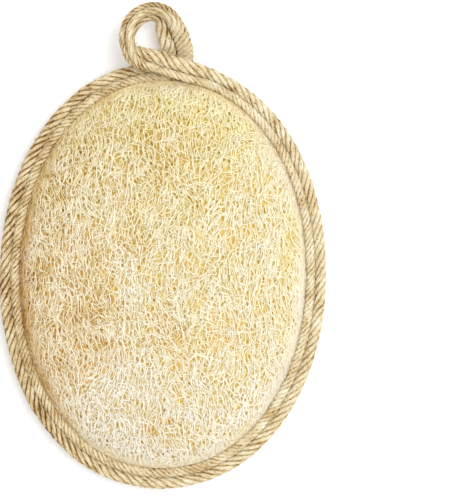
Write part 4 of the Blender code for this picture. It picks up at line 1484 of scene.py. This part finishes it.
class LOOFAH_OT_binding(bpy.types.Operator):
    """Makes the edge binding: four jute cords on a tape folded over the edge"""

    bl_idname = "loofah.binding"
    bl_label = "Edge binding"

    def execute(self, context):
        settings = context.scene.loofah_pad
        pitches = (settings.cord_pitch, settings.inner_pitch)
        tree = cord_tree(bpy.data.materials.get("spun jute cord") or jute_material(settings))
        sides = {"binding_cords_face": front_ring_paths(), "binding_cords_back": back_ring_paths()}
        for name, paths in sides.items():
            guide = cord_guide(name + " guide", paths, pitches, RING_STARTS)
            add_piece(name, grow(guide, tree), "edge_binding")
        add_core("binding_core", binding_core_mesh(), "edge_binding")
        return {"FINISHED"}


class LOOFAH_OT_loop(bpy.types.Operator):
    """Makes the hanging loop: the binding's cords, folded double"""

    bl_idname = "loofah.loop"
    bl_label = "Hanging loop"

    def execute(self, context):
        settings = context.scene.loofah_pad
        pitches = (settings.cord_pitch, settings.inner_pitch)
        starts = []
        for path, pitch, start in zip(front_ring_paths(), pitches, RING_STARTS):
            starts.append(start + 2 * math.pi * path.turns(pitch)[-1])
        guide = cord_guide("loop guide", loop_paths(), pitches * 2, (*starts, *OUTER_PAIR_STARTS))
        tree = cord_tree(bpy.data.materials.get("spun jute cord") or jute_material(settings))
        add_piece("loop_cords", grow(guide, tree, {"Step": 0.6 * MM}), "hanging_loop")
        add_core("loop_core", loop_core_mesh(), "hanging_loop")
        return {"FINISHED"}


class LOOFAH_OT_fuzz(bpy.types.Operator):
    """Makes the loose hairs that stand off the binding and the loop"""

    bl_idname = "loofah.fuzz"
    bl_label = "Jute fuzz"

    def execute(self, context):
        density = context.scene.loofah_pad.hair_density
        tree = fuzz_tree(jute_hair_material())
        for name, cords, node in (
            ("binding_fuzz", "binding_cords_face", "edge_binding"),
            ("loop_fuzz", "loop_cords", "hanging_loop"),
        ):
            guide = add_object(name + " guide", bpy.data.objects[cords].data.copy())
            values = {"Density": density / (MM * MM)}
            add_piece(name, grow(guide, tree, values), node)
        return {"FINISHED"}


class LOOFAH_OT_stitches(bpy.types.Operator):
    """Makes the rows of stitches in the binding's furrows, on the face and on the back"""

    bl_idname = "loofah.stitches"
    bl_label = "Seam stitches"

    def execute(self, context):
        settings = context.scene.loofah_pad
        tree = stitch_tree(thread_material(settings))
        values = {"Stitch Length": settings.stitch_length}
        for name, node, seam in (
            ("stitches_face", "seam_thread_face", FACE_SEAM),
            ("stitches_back", "seam_thread_back", BACK_SEAM),
        ):
            at, up = furrow_line(*seam)
            guide = line_guide(name + " guide", [at], {"up": [up]})
            add_piece(name, grow(guide, tree, values), node)
        return {"FINISHED"}


class LOOFAH_OT_backing(bpy.types.Operator):
    """Makes the terry cloth and the elastic strap on the back"""

    bl_idname = "loofah.backing"
    bl_label = "Terry backing and strap"

    def execute(self, context):
        settings = context.scene.loofah_pad
        guide = add_object("terry guide", terry_mesh())
        relief = {"across": settings.rib_spacing, "along": 1.5 * MM, "depth": 0.2 * MM, "dots": 0.0}
        tree = relief_tree("Terry ribs", terry_material(settings), **relief)
        terry = add_piece("terry_cloth", grow(guide, tree), "terry_backing")
        guide = add_object("strap guide", strap_mesh())
        relief = {"across": 1.6 * MM, "along": 1.27 * MM, "depth": 0.09 * MM, "dots": 1.0}
        tree = relief_tree("Webbing dots", strap_material(settings), **relief)
        strap = add_piece("elastic_strap", grow(guide, tree), "hand_strap")
        return {"FINISHED"}


class LOOFAH_PT_panel(bpy.types.Panel):
    """Sizes and colours of the pad, and a button for each group of pieces"""

    bl_idname = "LOOFAH_PT_panel"
    bl_label = "Loofah pad"
    bl_space_type = "VIEW_3D"
    bl_region_type = "UI"
    bl_category = "Loofah pad"

    def draw(self, context):
        settings = context.scene.loofah_pad
        for name in LoofahPadSettings.__annotations__:
            self.layout.prop(settings, name)
        for operator in OPERATORS:
            self.layout.operator(operator.bl_idname)


OPERATORS = (
    LOOFAH_OT_stage,
    LOOFAH_OT_mat,
    LOOFAH_OT_binding,
    LOOFAH_OT_loop,
    LOOFAH_OT_fuzz,
    LOOFAH_OT_stitches,
    LOOFAH_OT_backing,
)
CLASSES = (LoofahPadSettings, *OPERATORS, LOOFAH_PT_panel)


def register():
    for cls in CLASSES:
        bpy.utils.register_class(cls)
    bpy.types.Scene.loofah_pad = PointerProperty(type=LoofahPadSettings)


def unregister():
    del bpy.types.Scene.loofah_pad
    for cls in reversed(CLASSES):
        bpy.utils.unregister_class(cls)


def main():
    register()
    bpy.ops.loofah.stage()
    bpy.ops.loofah.mat()
    bpy.ops.loofah.binding()
    bpy.ops.loofah.loop()
    bpy.ops.loofah.fuzz()
    bpy.ops.loofah.stitches()
    bpy.ops.loofah.backing()


if __name__ == "__main__":
    main()
